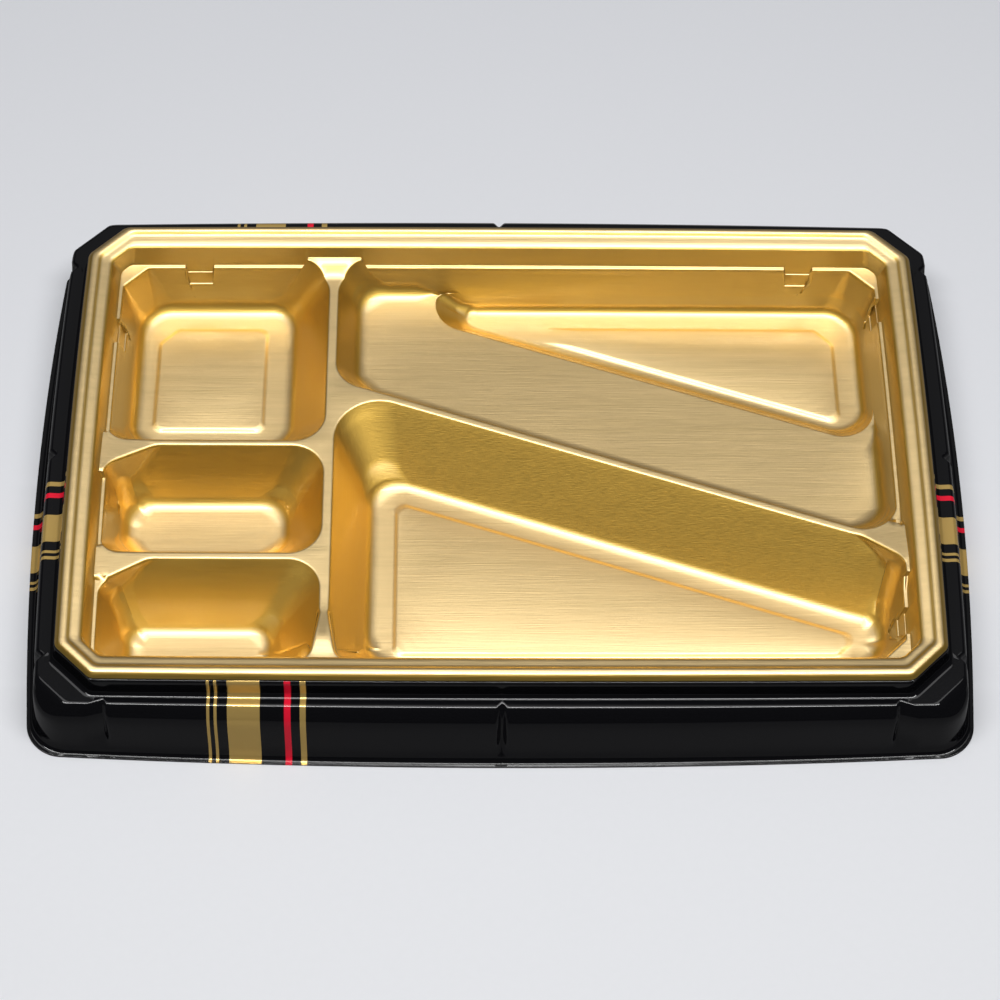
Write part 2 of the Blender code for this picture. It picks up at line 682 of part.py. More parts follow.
def make_insert(material):
    """The gold insert."""
    sheet = Sheet()
    foot = rim_rings(sheet)
    large, square, middle, front_left, corner = compartments()
    trough = trough_in(large)
    top, shelf = add_pocket(sheet, large, ground)
    tops = [top]
    trough_top, trough_floor = add_pocket(sheet, trough, lambda x, y: 0.0)
    sheet.fill(shelf, [trough_top])
    sheet.fill(trough_floor, [add_panel(sheet, panel_in(trough, TROUGH_PANEL))])
    for pocket, insets in ((square, SQUARE_PANEL), (middle, None), (front_left, None),
                           (corner, CORNER_PANEL)):
        top, floor = add_pocket(sheet, pocket, ground)
        tops.append(top)
        sheet.fill(floor, [add_panel(sheet, panel_in(pocket, insets))] if insets else [])
    sheet.fill(foot, tops)
    return sheet.finish("inner_tray", INSERT_SHEET, material)


def groove(x, y, depth):
    """How far the skirt is pressed in at a place on it."""
    fade = clamp((FLARE_DEPTH - depth) / (FLARE_DEPTH - FACET_DEPTH))
    places = [abs(abs(x) - GROOVE_X), abs(x)]
    if abs(x) - HALF_LENGTH > abs(y) - HALF_WIDTH:
        places = [abs(abs(y) - GROOVE_Y), abs(y)]
    return GROOVE_DEPTH * fade * max(clamp(1.0 - 2.0 * place / GROOVE_WIDTH) for place in places)


def tray_marks():
    """Points on the ledge's edge where the skirt's grooves start."""
    marks = []
    edge_x = HALF_LENGTH + LEDGE_EDGE[0]
    edge_y = HALF_WIDTH + LEDGE_EDGE[1]
    for place in (-0.5, 0.0, 0.5):
        for centre in (-1.0, 0.0, 1.0):
            x = centre * GROOVE_X + place * GROOVE_WIDTH
            y = centre * GROOVE_Y + place * GROOVE_WIDTH
            marks += [(x, edge_y), (x, -edge_y), (edge_x, y), (-edge_x, y)]
    return marks


def make_outer(material):
    """The black outer tray: floor, inner wall, rim, upper wall, ledge, skirt and lip."""
    sheet = Sheet()
    edge_x = HALF_LENGTH + LEDGE_EDGE[0]
    edge_y = HALF_WIDTH + LEDGE_EDGE[1]
    edge_sum = edge_x + edge_y - LEDGE_CHAMFER
    outline = Outline(octagon(edge_x, edge_y, edge_sum, FOOT_RADIUS), tray_marks())

    def ring(outsets, chamfer, radius, depth, bow, grooved=False):
        half_x = HALF_LENGTH + outsets[0]
        half_y = HALF_WIDTH + outsets[1]
        corner = (edge_sum - (half_x + half_y - chamfer)) / ROOT_TWO
        insets = [edge_y - half_y, corner, edge_x - half_x, corner] * 2
        points, normals = outline.path(insets, [radius] * 8)
        placed = []
        for point, normal in zip(points, normals):
            if grooved:
                point = point - normal * groove(point[0], point[1], depth)
            placed.append((point[0], point[1], RIM_HEIGHT - depth))
        return sheet.ring(placed, bow, half_x, half_y)

    def inner(depth, spread, radius):
        """A ring on the inner wall, outside the insert's wall; spread moves it into the tray."""
        fall = depth + CUP_TOP[1]
        below = max(0.0, depth - under_web)
        inset = CUP_TOP[0] + CUP_SLOPE * fall - wall_gap + spread
        corner = CUP_TOP_CORNER + CUP_CORNER_SLOPE * (fall - below) - wall_gap + spread
        corner += math.tan(math.radians(CORNER_LEAN)) * below
        chamfer = RIM_CHAMFER - 2.0 * inset + ROOT_TWO * corner
        return ring([-inset, -inset], chamfer, radius, depth, RIM_BOW)

    seat = INSERT_SHEET + SEAT_CLEARANCE - LIP_HEIGHT
    wall_gap = INSERT_SHEET * math.sqrt(1.0 + CUP_SLOPE ** 2) + WALL_CLEARANCE
    under_web = WEB_DEPTH + INSERT_SHEET + SEAT_CLEARANCE
    base_depth = RIM_HEIGHT - BASE_THICKNESS
    lip_depth = RIM_HEIGHT - TRAY_SHEET
    round_leg = FOOT_RADIUS * (2.0 - ROOT_TWO)
    foot = [outset - LIP_WIDTH for outset in FOOT]
    step_out = [outset - CREASE for outset in LEDGE_EDGE]
    step_in = [outset + CREASE for outset in UPPER_WALL]
    shoulder_share = (SHOULDER_DEPTH - LEDGE_DEPTH) / (FACET_DEPTH - LEDGE_DEPTH)
    shoulder_leg = LEDGE_CHAMFER + (round_leg - LEDGE_CHAMFER) * shoulder_share
    shoulder_radius = TRAY_CORNER + (FOOT_RADIUS - TRAY_CORNER) * shoulder_share

    rings = [
        ring(FOOT, round_leg, FOOT_RADIUS, lip_depth, FOOT_BOW),
        ring(foot, round_leg, FOOT_RADIUS, lip_depth, FOOT_BOW),
        ring(foot, round_leg, FOOT_RADIUS, lip_depth - 2.0 * CREASE, FOOT_BOW),
        ring(FLARE, round_leg, FOOT_RADIUS, FLARE_DEPTH, FLARE_BOW, True),
        ring(FACET, round_leg, FOOT_RADIUS, FACET_DEPTH, FACET_BOW, True),
        ring(SHOULDER, shoulder_leg, shoulder_radius, SHOULDER_DEPTH, SHOULDER_BOW, True),
        ring(LEDGE_EDGE, LEDGE_CHAMFER, TRAY_CORNER, LEDGE_DEPTH + CREASE, LEDGE_BOW, True),
        ring(step_out, LEDGE_CHAMFER, TRAY_CORNER, LEDGE_DEPTH, LEDGE_BOW),
        ring(step_in, RIM_CHAMFER, TRAY_CORNER, LEDGE_DEPTH, LEDGE_BOW),
        ring(UPPER_WALL, RIM_CHAMFER, TRAY_CORNER, LEDGE_DEPTH - CREASE, RIM_BOW),
        ring([CREASE / 2.0, CREASE], RIM_CHAMFER, TRAY_CORNER, seat + CREASE, RIM_BOW),
        ring([-CREASE / 2.0, 0.0], RIM_CHAMFER, TRAY_CORNER, seat, RIM_BOW),
        inner(seat, -CREASE, TRAY_CORNER),
        inner(seat + CREASE, 0.0, TRAY_CORNER),
        inner(under_web, 0.0, TRAY_CORNER),
        inner(base_depth - BASE_FILLET, 0.0, TRAY_FLOOR_CORNER),
        inner(base_depth - BASE_FILLET * FILLET_FOOT, BASE_FILLET * FILLET_FOOT, TRAY_FLOOR_CORNER),
        inner(base_depth, BASE_FILLET, TRAY_FLOOR_CORNER),
    ]
    sheet.bands(rings)
    sheet.fill(rings[-1])
    return sheet.finish("outer_tray", TRAY_SHEET, material)


def plastic(name, colour, metallic, roughness):
    """A plain surface."""
    material = bpy.data.materials.new(name)
    material.use_nodes = True
    shader = material.node_tree.nodes["Principled BSDF"]
    shader.inputs["Base Color"].default_value = (*colour, 1.0)
    shader.inputs["Metallic"].default_value = metallic
    shader.inputs["Roughness"].default_value = roughness
    material.diffuse_color = (*colour, 1.0)
    return material


def main():
    """Build the container."""
    for thing in list(bpy.data.objects):
        bpy.data.objects.remove(thing, do_unlink=True)
    make_insert(plastic("Satin gold", (0.80, 0.58, 0.25), 1.0, 0.32))
    make_outer(plastic("Gloss black", (0.012, 0.012, 0.014), 0.0, 0.18))


main()
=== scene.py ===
"""Looks of the take-away bento container: a satin gold insert in a gloss black tray with printed stripes.

Both pieces are formed sheet, drawn ring by ring as one open surface each. Lengths are millimetres
until a mesh is made. The origin is on the table under the middle, +X to the right, +Y to the back.
"""
import math

import bmesh
import bpy
import numpy as np
from mathutils import Matrix, Vector, geometry


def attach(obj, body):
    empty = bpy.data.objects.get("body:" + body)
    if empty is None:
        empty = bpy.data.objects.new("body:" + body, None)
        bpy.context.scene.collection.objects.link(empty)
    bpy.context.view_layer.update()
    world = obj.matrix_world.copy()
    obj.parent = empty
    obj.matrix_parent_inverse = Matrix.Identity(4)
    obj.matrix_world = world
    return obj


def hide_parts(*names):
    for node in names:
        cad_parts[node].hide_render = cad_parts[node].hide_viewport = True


MM = 0.001
ROOT_TWO = math.sqrt(2.0)

# Plan of the insert's rim
RIM_LENGTH = 260.0
RIM_WIDTH = 164.8
RIM_CHAMFER = 10.6
RIM_CORNER_RADIUS = 3.5
RIM_BOW = (1.25, 0.75)

# Heights above the table, and depths below the rim
RIM_HEIGHT = 26.0
WEB_DEPTH = 7.5
FLOOR_DEPTH = 23.5
SHELF_DEPTH = 17.0
BASE_THICKNESS = 0.5

# Sheets and the gaps between them
INSERT_SHEET = 0.5
TRAY_SHEET = 0.5
SEAT_CLEARANCE = 0.35
WALL_CLEARANCE = 0.7

# Insert rim, a bead and a shelf: insets from its edge and at its corners, heights over the rim plane
RIM_PROFILE = [
    (0.0, 0.0, -0.6), (0.3, 0.3, -0.25), (0.7, 0.7, 0.2), (1.1, 1.1, 0.55), (1.5, 1.5, 0.78),
    (2.0, 2.0, 0.92), (2.6, 2.6, 0.98), (3.0, 3.0, 0.93), (3.4, 3.4, 0.78), (3.8, 3.8, 0.54),
    (4.2, 4.2, 0.28), (4.6, 4.6, 0.1), (5.0, 4.95, 0.0), (5.5, 5.4, -0.07), (6.0, 5.85, -0.14),
    (6.4, 6.2, -0.22), (6.8, 6.55, -0.35), (7.2, 6.9, -0.55), (7.5, 7.15, -0.75), (7.8, 7.4, -1.0),
]
BACK_BEAD_SHIFT = 0.8

# Rim wall, down to its foot on the web, and the ledge beside it
CUP_TOP_DEPTH = 1.0
CUP_TOP = 7.8
CUP_FOOT = 9.6
CUP_TOP_CORNER = 7.4
CUP_FOOT_CORNER = 8.2
CUP_FILLET = 0.45
CUP_FILLET_STEPS = 4
LEDGE_WIDTH = 1.0
CORNER_LEDGE_WIDTH = 4.7
FRONT_CORNER_OUT = 2.2

# Dividers of the insert, at the level of their tops
COLUMN_RIDGE_X = -52.6
COLUMN_RIDGE_WIDTH = 2.8
UPPER_RIDGE_Y = 4.7
UPPER_RIDGE_WIDTH = 1.9
LOWER_RIDGE_Y = -36.05
LOWER_RIDGE_WIDTH = 2.3
SLANT_RIDGE_Y = 9.75
SLANT_RIDGE_WIDTH = 2.3
SLANT_ANGLE = -18.9
EDGE_ROUNDING = 1.2
OUTER_ROUNDING = 0.7

# Wall slopes, measured from the vertical, in degrees
OUTER_LEAN = 17.0
CORNER_LEAN = 22.0
DIVIDER_LEAN = 36.0
NEAR_LEAN = 22.0
SMALL_LEAN = 45.0
SMALL_OUTER_LEAN = 27.0
SLANT_LEAN = 49.5
TROUGH_LEAN = 41.0
TROUGH_END_LEAN = 58.0

# Corner radii at the top of a compartment and at its floor, and the floor fillets
WIDE_CORNER = 10.0
BROAD_CORNER = 14.0
TIGHT_CORNER = 5.5
CHAMFER_CORNER = 3.0
FLOOR_CORNER = 8.5
SMALL_FLOOR_CORNER = 6.0
FLOOR_FILLET = 6.0
CORNER_SWELL = 0.4

# Tapers of the compartments' corners beside the gussets
TAPER_HEADING = 212.0
TAPER_START = 15.0
SLANT_TAPER_HEADING = 139.1
SLANT_TAPER_START = 12.0
FRONT_TAPER_HEADING = 80.0
FRONT_TAPER_START = 16.8
FRONT_TAPER_CORNER = 4.0
TAPER_CORNER = 8.0
TAPER_LEAN = 8.0

# Trough: the deeper wedge at the back of the largest compartment
TROUGH_Y = 50.2
TROUGH_END_X = -20.5
TROUGH_CORNER = 10.0
TROUGH_BACK_CORNER = 4.0
TROUGH_FLOOR_CORNER = 5.0
TROUGH_TIP_CORNER = 3.4
TROUGH_FILLET = 4.0
SHELF_FADE = 3.0
TROUGH_RIGHT_Y = 15.0
SEAM = 0.02

# Raised floor panels
PANEL_RISE = 0.7
PANEL_RUN = 2.0
PANEL_STEPS = 6
PANEL_CORNER = 3.0
PANEL_CHAMFER = 6.0
SQUARE_PANEL = (-109.0, -73.2, 18.7, 59.5)
TROUGH_PANEL_X = 107.6
TROUGH_PANEL_TOP = 60.2
TROUGH_PANEL_Y = 58.9
CORNER_PANEL_X = -33.0
CORNER_PANEL_END = 101.2
CORNER_PANEL_FRONT = -62.2
CORNER_PANEL_Y = -17.2

# Gussets, where a divider rises to the rim wall
GUSSET_HINGE = 0.15
GUSSET_FADE = 1.0
GUSSET_DIP_START = 0.5
GUSSET_MARGIN = 1.5
MARK_STEP = 0.5
WEB_STEP = 1.2
WEB_MARGIN = 3.0
LEDGE_LEAST = 0.7

# Notches in the ledge, where nested inserts come apart
NOTCH_WIDTH = 7.6
NOTCH_DROP = 6.2
NOTCH_WALL_DROP = 2.5
NOTCH_X = 95.6
LEFT_NOTCH_Y = 47.0
RIGHT_NOTCH_Y = 56.0
CORNER_NOTCH_Y = -58.3
NOTCH_FLANK = 0.8
NOTCH_STEPS = 4

# Facets
ARC_STEP = 5.0
ARC_FULL_RADIUS = 4.0
ARC_LEAST = 0.4
SIDE_STEP = 5.0
FILLET_STEPS = 8
WALL_STEPS = 8
EDGE_STEPS = 6
EDGE_PASSES = 8
SPLINE_STEPS = 3
FIT_PASSES = 60
CORNER_SHRINK = 0.95
LEAST_AREA = 0.0001
WELD = 0.035
SHARP_ANGLE = 35.0

HALF_LENGTH = RIM_LENGTH / 2.0
HALF_WIDTH = RIM_WIDTH / 2.0
FOOT_X = HALF_LENGTH - CUP_FOOT
FOOT_Y = HALF_WIDTH - CUP_FOOT
CHAMFER_SUM = HALF_LENGTH + HALF_WIDTH - RIM_CHAMFER
WEB_Z = RIM_HEIGHT - WEB_DEPTH
FLOOR_Z = RIM_HEIGHT - FLOOR_DEPTH
SHELF_Z = RIM_HEIGHT - SHELF_DEPTH
NOTCH_HALF = NOTCH_WIDTH / 2.0
POCKET_X = FOOT_X - LEDGE_WIDTH
POCKET_Y = FOOT_Y - LEDGE_WIDTH
POCKET_SUM = CHAMFER_SUM - ROOT_TWO * (CUP_FOOT_CORNER + CORNER_LEDGE_WIDTH)
CUP_SLOPE = (CUP_FOOT - CUP_TOP) / (WEB_DEPTH - CUP_TOP_DEPTH)
CUP_CORNER_SLOPE = (CUP_FOOT_CORNER - CUP_TOP_CORNER) / (WEB_DEPTH - CUP_TOP_DEPTH)

# Each gusset: its apex on a divider, the middle of its end, rise, half width and dip at its end
GUSSETS = [
    ((COLUMN_RIDGE_X, FOOT_Y - 5.0), (COLUMN_RIDGE_X, FOOT_Y + 1.0), 3.5, 8.4, 0.0),
    ((COLUMN_RIDGE_X, 18.0 - FOOT_Y), (COLUMN_RIDGE_X, -FOOT_Y), 3.2, 6.7, 2.0),
    ((16.0 - FOOT_X, UPPER_RIDGE_Y), (-FOOT_X, UPPER_RIDGE_Y - 5.0), 2.6, 6.9, 0.0),
    ((15.5 - FOOT_X, LOWER_RIDGE_Y), (-FOOT_X, LOWER_RIDGE_Y - 2.8), 0.9, 5.2, 0.0),
    ((FOOT_X - 13.0, -28.0), (FOOT_X, -34.4), 2.9, 7.7, 0.0),
]

# Each notch: its centre and the direction that it runs along
NOTCHES = [((x, y), (1, 0)) for y in (FOOT_Y, -FOOT_Y) for x in (-NOTCH_X, NOTCH_X)]
NOTCHES += [((-FOOT_X, LEFT_NOTCH_Y), (0, 1)), ((FOOT_X, RIGHT_NOTCH_Y), (0, 1)),
            ((FOOT_X, CORNER_NOTCH_Y), (0, 1))]


def clamp(value, low=0.0, high=1.0):
    """Keep a value between two others."""
    return min(max(value, low), high)


def smooth(share):
    """Ease a share of the way in and out."""
    share = clamp(share)
    return share * share * (3.0 - 2.0 * share)


def shares_of(steps):
    """Shares from 0 to 1 in equal steps."""
    return [step / steps for step in range(steps + 1)]


def bowed(x, y, bow, half_x, half_y):
    """Bow the outer walls outwards, and leave the dividers nearly where they are."""
    reach_x = min(abs(x) / half_x, 1.1)
    reach_y = min(abs(y) / half_y, 1.1)
    grow_x = bow[0] * max(0.0, 1.0 - reach_y ** 2) * reach_x ** 3
    grow_y = bow[1] * max(0.0, 1.0 - reach_x ** 2) * reach_y ** 3
    return x + math.copysign(grow_x, x), y + math.copysign(grow_y, y)


def fillet_at(radius, lean, share):
    """How far in and how high a floor fillet is: share 0 where the wall ends, 1 on the floor."""
    angle = (1.0 - share) * (math.pi / 2.0 - lean)
    inset = radius * ((1.0 - math.sin(lean)) / math.cos(lean) - math.sin(angle))
    return inset, radius * (1.0 - math.cos(angle))


class Side:
    """A straight side of an outline, going counter-clockwise, and the corner that ends it."""

    def __init__(self, heading, point, lean, radius, fillet=FLOOR_FILLET, edge=EDGE_ROUNDING,
                 floor_radius=FLOOR_CORNER, slips=False):
        self.heading = heading
        angle = math.radians(heading)
        self.along = np.array((math.cos(angle), math.sin(angle)))
        self.inward = np.array((-self.along[1], self.along[0]))
        self.level = np.dot(self.inward, point)
        self.lean = math.radians(lean)
        self.radius = radius
        self.fillet = fillet
        self.edge = edge
        self.floor_radius = floor_radius
        self.slips = slips


class Outline:
    """A convex outline of straight sides with rounded corners, and its points."""

    def __init__(self, sides, marks=(), side_step=SIDE_STEP):
        self.sides = sides
        self.flat = [0.0] * len(sides)
        self.radii = [side.radius for side in sides]
        self.after = sides[1:] + sides[:1]
        self.turns = [math.acos(clamp(np.dot(one.along, two.along), -1.0))
                      for one, two in zip(sides, self.after)]
        self.arcs = []
        for turn, side in zip(self.turns, sides):
            share = clamp(max(side.radius, side.floor_radius) / ARC_FULL_RADIUS, ARC_LEAST)
            self.arcs.append(max(2, round(math.degrees(turn) / ARC_STEP * share)))
        self.stops = [self.spread(i, marks, side_step) for i in range(len(sides))]
        self.leans = self.along_outline([side.lean for side in sides])
        self.floor_leans = self.along_outline(self.settled_leans())
        self.edges = self.along_outline([side.edge for side in sides])
        self.fillets = self.along_outline([side.fillet for side in sides])
        self.corners = self.along_outline(self.flat, 1.0)

    def runs(self, insets, radii):
        """Start and end of each side's straight part, and the radii that fit.

        A side that slips vanishes where it has no room left; the corners of any other one shrink.
        """
        count = len(self.sides)
        levels = [side.level + inset for side, inset in zip(self.sides, insets)]
        fitted = list(radii)
        gone = set()
        for _ in range(FIT_PASSES):
            centres = []
            for i in range(count):
                after = (i + 1) % count
                one = i - 1 if i in gone else i
                two = (i + 2) % count if after in gone else after
                fitted[i] = fitted[after] if after in gone else fitted[i]
                matrix = np.array((self.sides[one].inward, self.sides[two].inward))
                target = np.array((levels[one] + fitted[i], levels[two] + fitted[i]))
                centres.append(np.linalg.solve(matrix, target))
            short = [i for i in range(count) if i not in gone and
                     np.dot(centres[i] - centres[i - 1], self.sides[i].along) < 0.0]
            if not short:
                break
            for i in short:
                if self.sides[i].slips:
                    gone.add(i)
                else:
                    fitted[i - 1] *= CORNER_SHRINK
                    fitted[i] *= CORNER_SHRINK
        starts = [centres[i - 1] - self.sides[i].inward * fitted[i - 1] for i in range(count)]
        ends = [centres[i] - self.sides[i].inward * fitted[i] for i in range(count)]
        return starts, ends, fitted

    def spread(self, i, marks, side_step):
        """Where a side has points, as shares of its straight part: evenly, and at the marks on it."""
        side = self.sides[i]
        starts, ends, _ = self.runs(self.flat, self.radii)
        low = np.dot(side.along, starts[i])
        high = np.dot(side.along, ends[i])
        if high - low < 0.5:
            return []
        pieces = max(1, round((high - low) / side_step))
        even = [low + (high - low) * k / pieces for k in range(1, pieces)]
        marked = []
        for mark in marks:
            distance = np.dot(side.inward, mark) - side.level
            place = np.dot(side.along, mark)
            if abs(distance) < LEDGE_WIDTH + 0.5 and low + 0.2 < place < high - 0.2:
                marked.append(place)
        clear = [place for place in even if all(abs(place - mark) > 0.3 * side_step for mark in marked)]
        return [(place - low) / (high - low) for place in sorted(clear + marked)]

    def settled_leans(self):
        """Each side's lean at the floor, where a side that slips has gone and its neighbours meet."""
        leans = []
        for i, side in enumerate(self.sides):
            before, after = self.turns[i - 1], self.turns[i]
            between = (self.sides[i - 1].lean * after + self.after[i].lean * before) / (before + after)
            leans.append(between if side.slips else side.lean)
        return leans

    def along_outline(self, values, swell=0.0):
        """A value for each point of the outline, from one value for each side, more at the corners."""
        spread = []
        for i, (one, two) in enumerate(zip(values, values[1:] + values[:1])):
            shares = [0.0] * len(self.stops[i]) + shares_of(self.arcs[i])
            spread += [one + (two - one) * share + swell * math.sin(math.pi * share) for share in shares]
        return spread

    def path(self, insets, radii):
        """Points around the outline and their outward directions."""
        starts, ends, fitted = self.runs(insets, radii)
        points, normals = [], []
        for i, side in enumerate(self.sides):
            points += [starts[i] + (ends[i] - starts[i]) * stop for stop in self.stops[i]]
            normals += [-side.inward] * len(self.stops[i])
            centre = ends[i] + side.inward * fitted[i]
            for k in range(self.arcs[i] + 1):
                angle = self.turns[i] * k / self.arcs[i]
                spoke = -side.inward * math.cos(angle) + side.along * math.sin(angle)
                points.append(centre + spoke * fitted[i])
                normals.append(spoke)
        return points, normals


class Pocket(Outline):
    """A compartment: walls that lean out from a floor, filleted below and rounded at the top."""

    def __init__(self, sides, top, floor, marks=(), side_step=SIDE_STEP):
        super().__init__(sides, marks, side_step)
        self.top = top
        self.floor = floor
        self.depth = top - floor
        self.fade = lambda x, y: 1.0
        self.swell = 0.0

    def edge_ring(self, share, surface):
        """One ring of the rounded top edge: share 0 on the flat, 1 on the wall."""
        points, normals = self.path(self.flat, self.radii)
        ring = []
        for point, normal, lean, edge in zip(points, normals, self.leans, self.edges):
            reach = edge * (1.0 - math.sin(lean)) / math.cos(lean)
            lift = 0.0
            for _ in range(EDGE_PASSES):
                lift = surface(*(point + normal * (math.tan(lean) * lift + reach)))
            angle = share * (math.pi / 2.0 - lean)
            outset = math.tan(lean) * lift + reach
            outset -= clear_of_wall(point + normal * outset, lift) + edge * math.sin(angle)
            place = point + normal * outset
            ring.append((*place, self.top + lift - edge * (1.0 - math.cos(angle))))
        return ring

    def wall_ring(self, share, upper, lower):
        """One ring of the walls, share of the way from the top edge's last ring to the fillet's first."""
        heights = [high[2] + (low[2] - high[2]) * share for high, low in zip(upper, lower)]
        level = sum(heights) / len(heights)
        fallen = (self.top - level) / self.depth
        insets = [(self.top - level) * math.tan(side.lean) for side in self.sides]
        radii = [side.radius + (side.floor_radius - side.radius) * fallen for side in self.sides]
        points, normals = self.path(insets, radii)
        ring = []
        rows = zip(points, normals, self.leans, self.floor_leans, heights)
        for point, normal, lean, floor_lean, height in rows:
            slope = math.tan(lean + (floor_lean - lean) * fallen)
            place = point + normal * slope * (height - level)
            ring.append((*place, height))
        return ring

    def fillet_ring(self, share):
        """One ring of the floor fillet: share 0 where the wall ends, 1 on the floor."""
        insets = [self.depth * math.tan(side.lean) for side in self.sides]
        points, normals = self.path(insets, [side.floor_radius for side in self.sides])
        ring = []
        rows = zip(points, normals, self.floor_leans, self.fillets, self.corners)
        for point, normal, lean, fillet, corner in rows:
            radius = fillet * self.fade(*point) * (1.0 + self.swell * corner)
            inset, rise = fillet_at(radius, lean, share)
            place = point - normal * inset
            ring.append((*place, self.floor + rise))
        return ring


def add_object(name, data):
    """A new object in the scene."""
    made = bpy.data.objects.new(name, data)
    bpy.context.collection.objects.link(made)
    return made


class Sheet:
    """An open surface under construction."""

    def __init__(self):
        self.vertices = []
        self.plan = []
        self.faces = []

    def ring(self, places, bow=RIM_BOW, half_x=HALF_LENGTH, half_y=HALF_WIDTH):
        """Add a closed ring of points and give their numbers."""
        first = len(self.vertices)
        for x, y, z in places:
            self.vertices.append((*bowed(x, y, bow, half_x, half_y), z))
            self.plan.append((x, y))
        return list(range(first, len(self.vertices)))

    def bands(self, rings):
        """Quads between each ring and the next one inwards, facing up."""
        for outer, inner in zip(rings, rings[1:]):
            for i in range(len(outer)):
                j = (i + 1) % len(outer)
                self.faces.append((outer[i], outer[j], inner[j], inner[i]))

    def fill(self, outer, holes=(), extra=(), height=None):
        """Triangles between an outer ring and the rings inside it, facing up."""
        loops = [outer, *holes]
        numbers = [number for loop in loops for number in loop]
        borders = [np.array([self.plan[number] for number in loop]) for loop in loops]
        edges = []
        start = 0
        for loop in loops:
            edges += [(start + i, start + (i + 1) % len(loop)) for i in range(len(loop))]
            start += len(loop)

        def within(place):
            return inside(borders[0], place) and not any(inside(hole, place) for hole in borders[1:])

        rim = np.concatenate(borders)
        for x, y in extra:
            near = np.min(np.hypot(rim[:, 0] - x, rim[:, 1] - y))
            if near > 0.5 and within((x, y)):
                numbers += self.ring([(x, y, height(x, y))])
        flat = [Vector(self.plan[number]) for number in numbers]
        points, _, triangles, origins, _, _ = geometry.delaunay_2d_cdt(flat, edges, [], 0, 1e-7)
        made = []
        for point, origin in zip(points, origins):
            if origin:
                made.append(numbers[origin[0]])
            else:
                z = height(*point) if height else self.vertices[outer[0]][2]
                made += self.ring([(*point, z)])
        for triangle in triangles:
            corners = [points[number] for number in triangle]
            if geometry.area_tri(*corners) < LEAST_AREA:
                continue
            if within((corners[0] + corners[1] + corners[2]) / 3.0):
                self.faces.append(tuple(made[number] for number in triangle))

    def finish(self, name, thickness, materials):
        """Make the object: the surface, with the sheet's thickness behind it."""
        mesh = bpy.data.meshes.new(name)
        mesh.from_pydata([(x * MM, y * MM, z * MM) for x, y, z in self.vertices], [], self.faces)
        surface = bmesh.new()
        surface.from_mesh(mesh)
        bmesh.ops.remove_doubles(surface, verts=surface.verts, dist=WELD * MM)
        bmesh.ops.dissolve_degenerate(surface, edges=surface.edges, dist=WELD * MM)
        surface.to_mesh(mesh)
        surface.free()
        mesh.shade_smooth()
        mesh.set_sharp_from_angle(angle=math.radians(SHARP_ANGLE))
        for material in materials:
            mesh.materials.append(material)
        piece = add_object(name, mesh)
        shell = piece.modifiers.new("Sheet", "SOLIDIFY")
        shell.thickness = thickness * MM
        shell.use_quality_normals = True
        shell.material_offset = len(materials) - 1
        return piece


def inside(border, point):
    """Whether a point lies in a closed outline."""
    ends = np.roll(border, -1, axis=0)
    spans = (border[:, 1] > point[1]) != (ends[:, 1] > point[1])
    starts, ends = border[spans], ends[spans]
    shares = (point[1] - starts[:, 1]) / (ends[:, 1] - starts[:, 1])
    crossings = starts[:, 0] + (ends[:, 0] - starts[:, 0]) * shares
    return bool(np.count_nonzero(crossings > point[0]) % 2)


def rim_outline():
    """The chamfered outline of the rim wall's foot."""
    middle = (CHAMFER_SUM - ROOT_TWO * CUP_FOOT_CORNER) / 2.0
    points = [(0, -FOOT_Y), (middle, -middle), (FOOT_X, 0), (middle, middle), (0, FOOT_Y),
              (-middle, middle), (-FOOT_X, 0), (-middle, -middle)]
    sides = [Side(45 * i, point, 0, RIM_CORNER_RADIUS) for i, point in enumerate(points)]
    return Outline(sides, wall_marks())


def clear_of_wall(place, lift):
    """How far a place on the web has to come in to stay clear of the rim wall."""
    beyond = [HALF_LENGTH - abs(place[0]), HALF_WIDTH - abs(place[1]),
              (CHAMFER_SUM - abs(place[0]) - abs(place[1])) / ROOT_TWO + CUP_FOOT - CUP_FOOT_CORNER]
    return max(0.0, CUP_FOOT - CUP_SLOPE * lift + LEDGE_LEAST - min(beyond))


def ground(x, y):
    """Height of the web over its own level: up at a gusset, down in a notch."""
    lift = 0.0
    for apex, end, rise, half, dip in GUSSETS:
        span = np.subtract(end, apex)
        length = np.linalg.norm(span)
        toward = span / length
        offset = np.subtract((x, y), apex)
        ahead = np.dot(offset, toward) / length
        if ahead < GUSSET_HINGE:
            ahead = max(0.0, ahead + GUSSET_HINGE) ** 2 / (4.0 * GUSSET_HINGE)
        aside = abs(offset[0] * toward[1] - offset[1] * toward[0])
        fade = smooth((half + GUSSET_FADE - aside) / GUSSET_FADE)
        sunk = dip * smooth((ahead - GUSSET_DIP_START) / (1.0 - GUSSET_DIP_START))
        lift = max(lift, (rise * min(ahead, 1.1) - sunk) * fade)
    for centre, along in NOTCHES:
        offset = np.subtract((x, y), centre)
        beside = abs(np.dot(offset, along))
        away = abs(offset[0] * along[1] - offset[1] * along[0])
        if beside < NOTCH_HALF + NOTCH_FLANK and away < LEDGE_WIDTH + NOTCH_DROP / 2.0:
            drop = NOTCH_WALL_DROP + (NOTCH_DROP - NOTCH_WALL_DROP) * clamp(away / LEDGE_WIDTH)
            lift = -drop * smooth((NOTCH_HALF + NOTCH_FLANK - beside) / NOTCH_FLANK)
    return lift


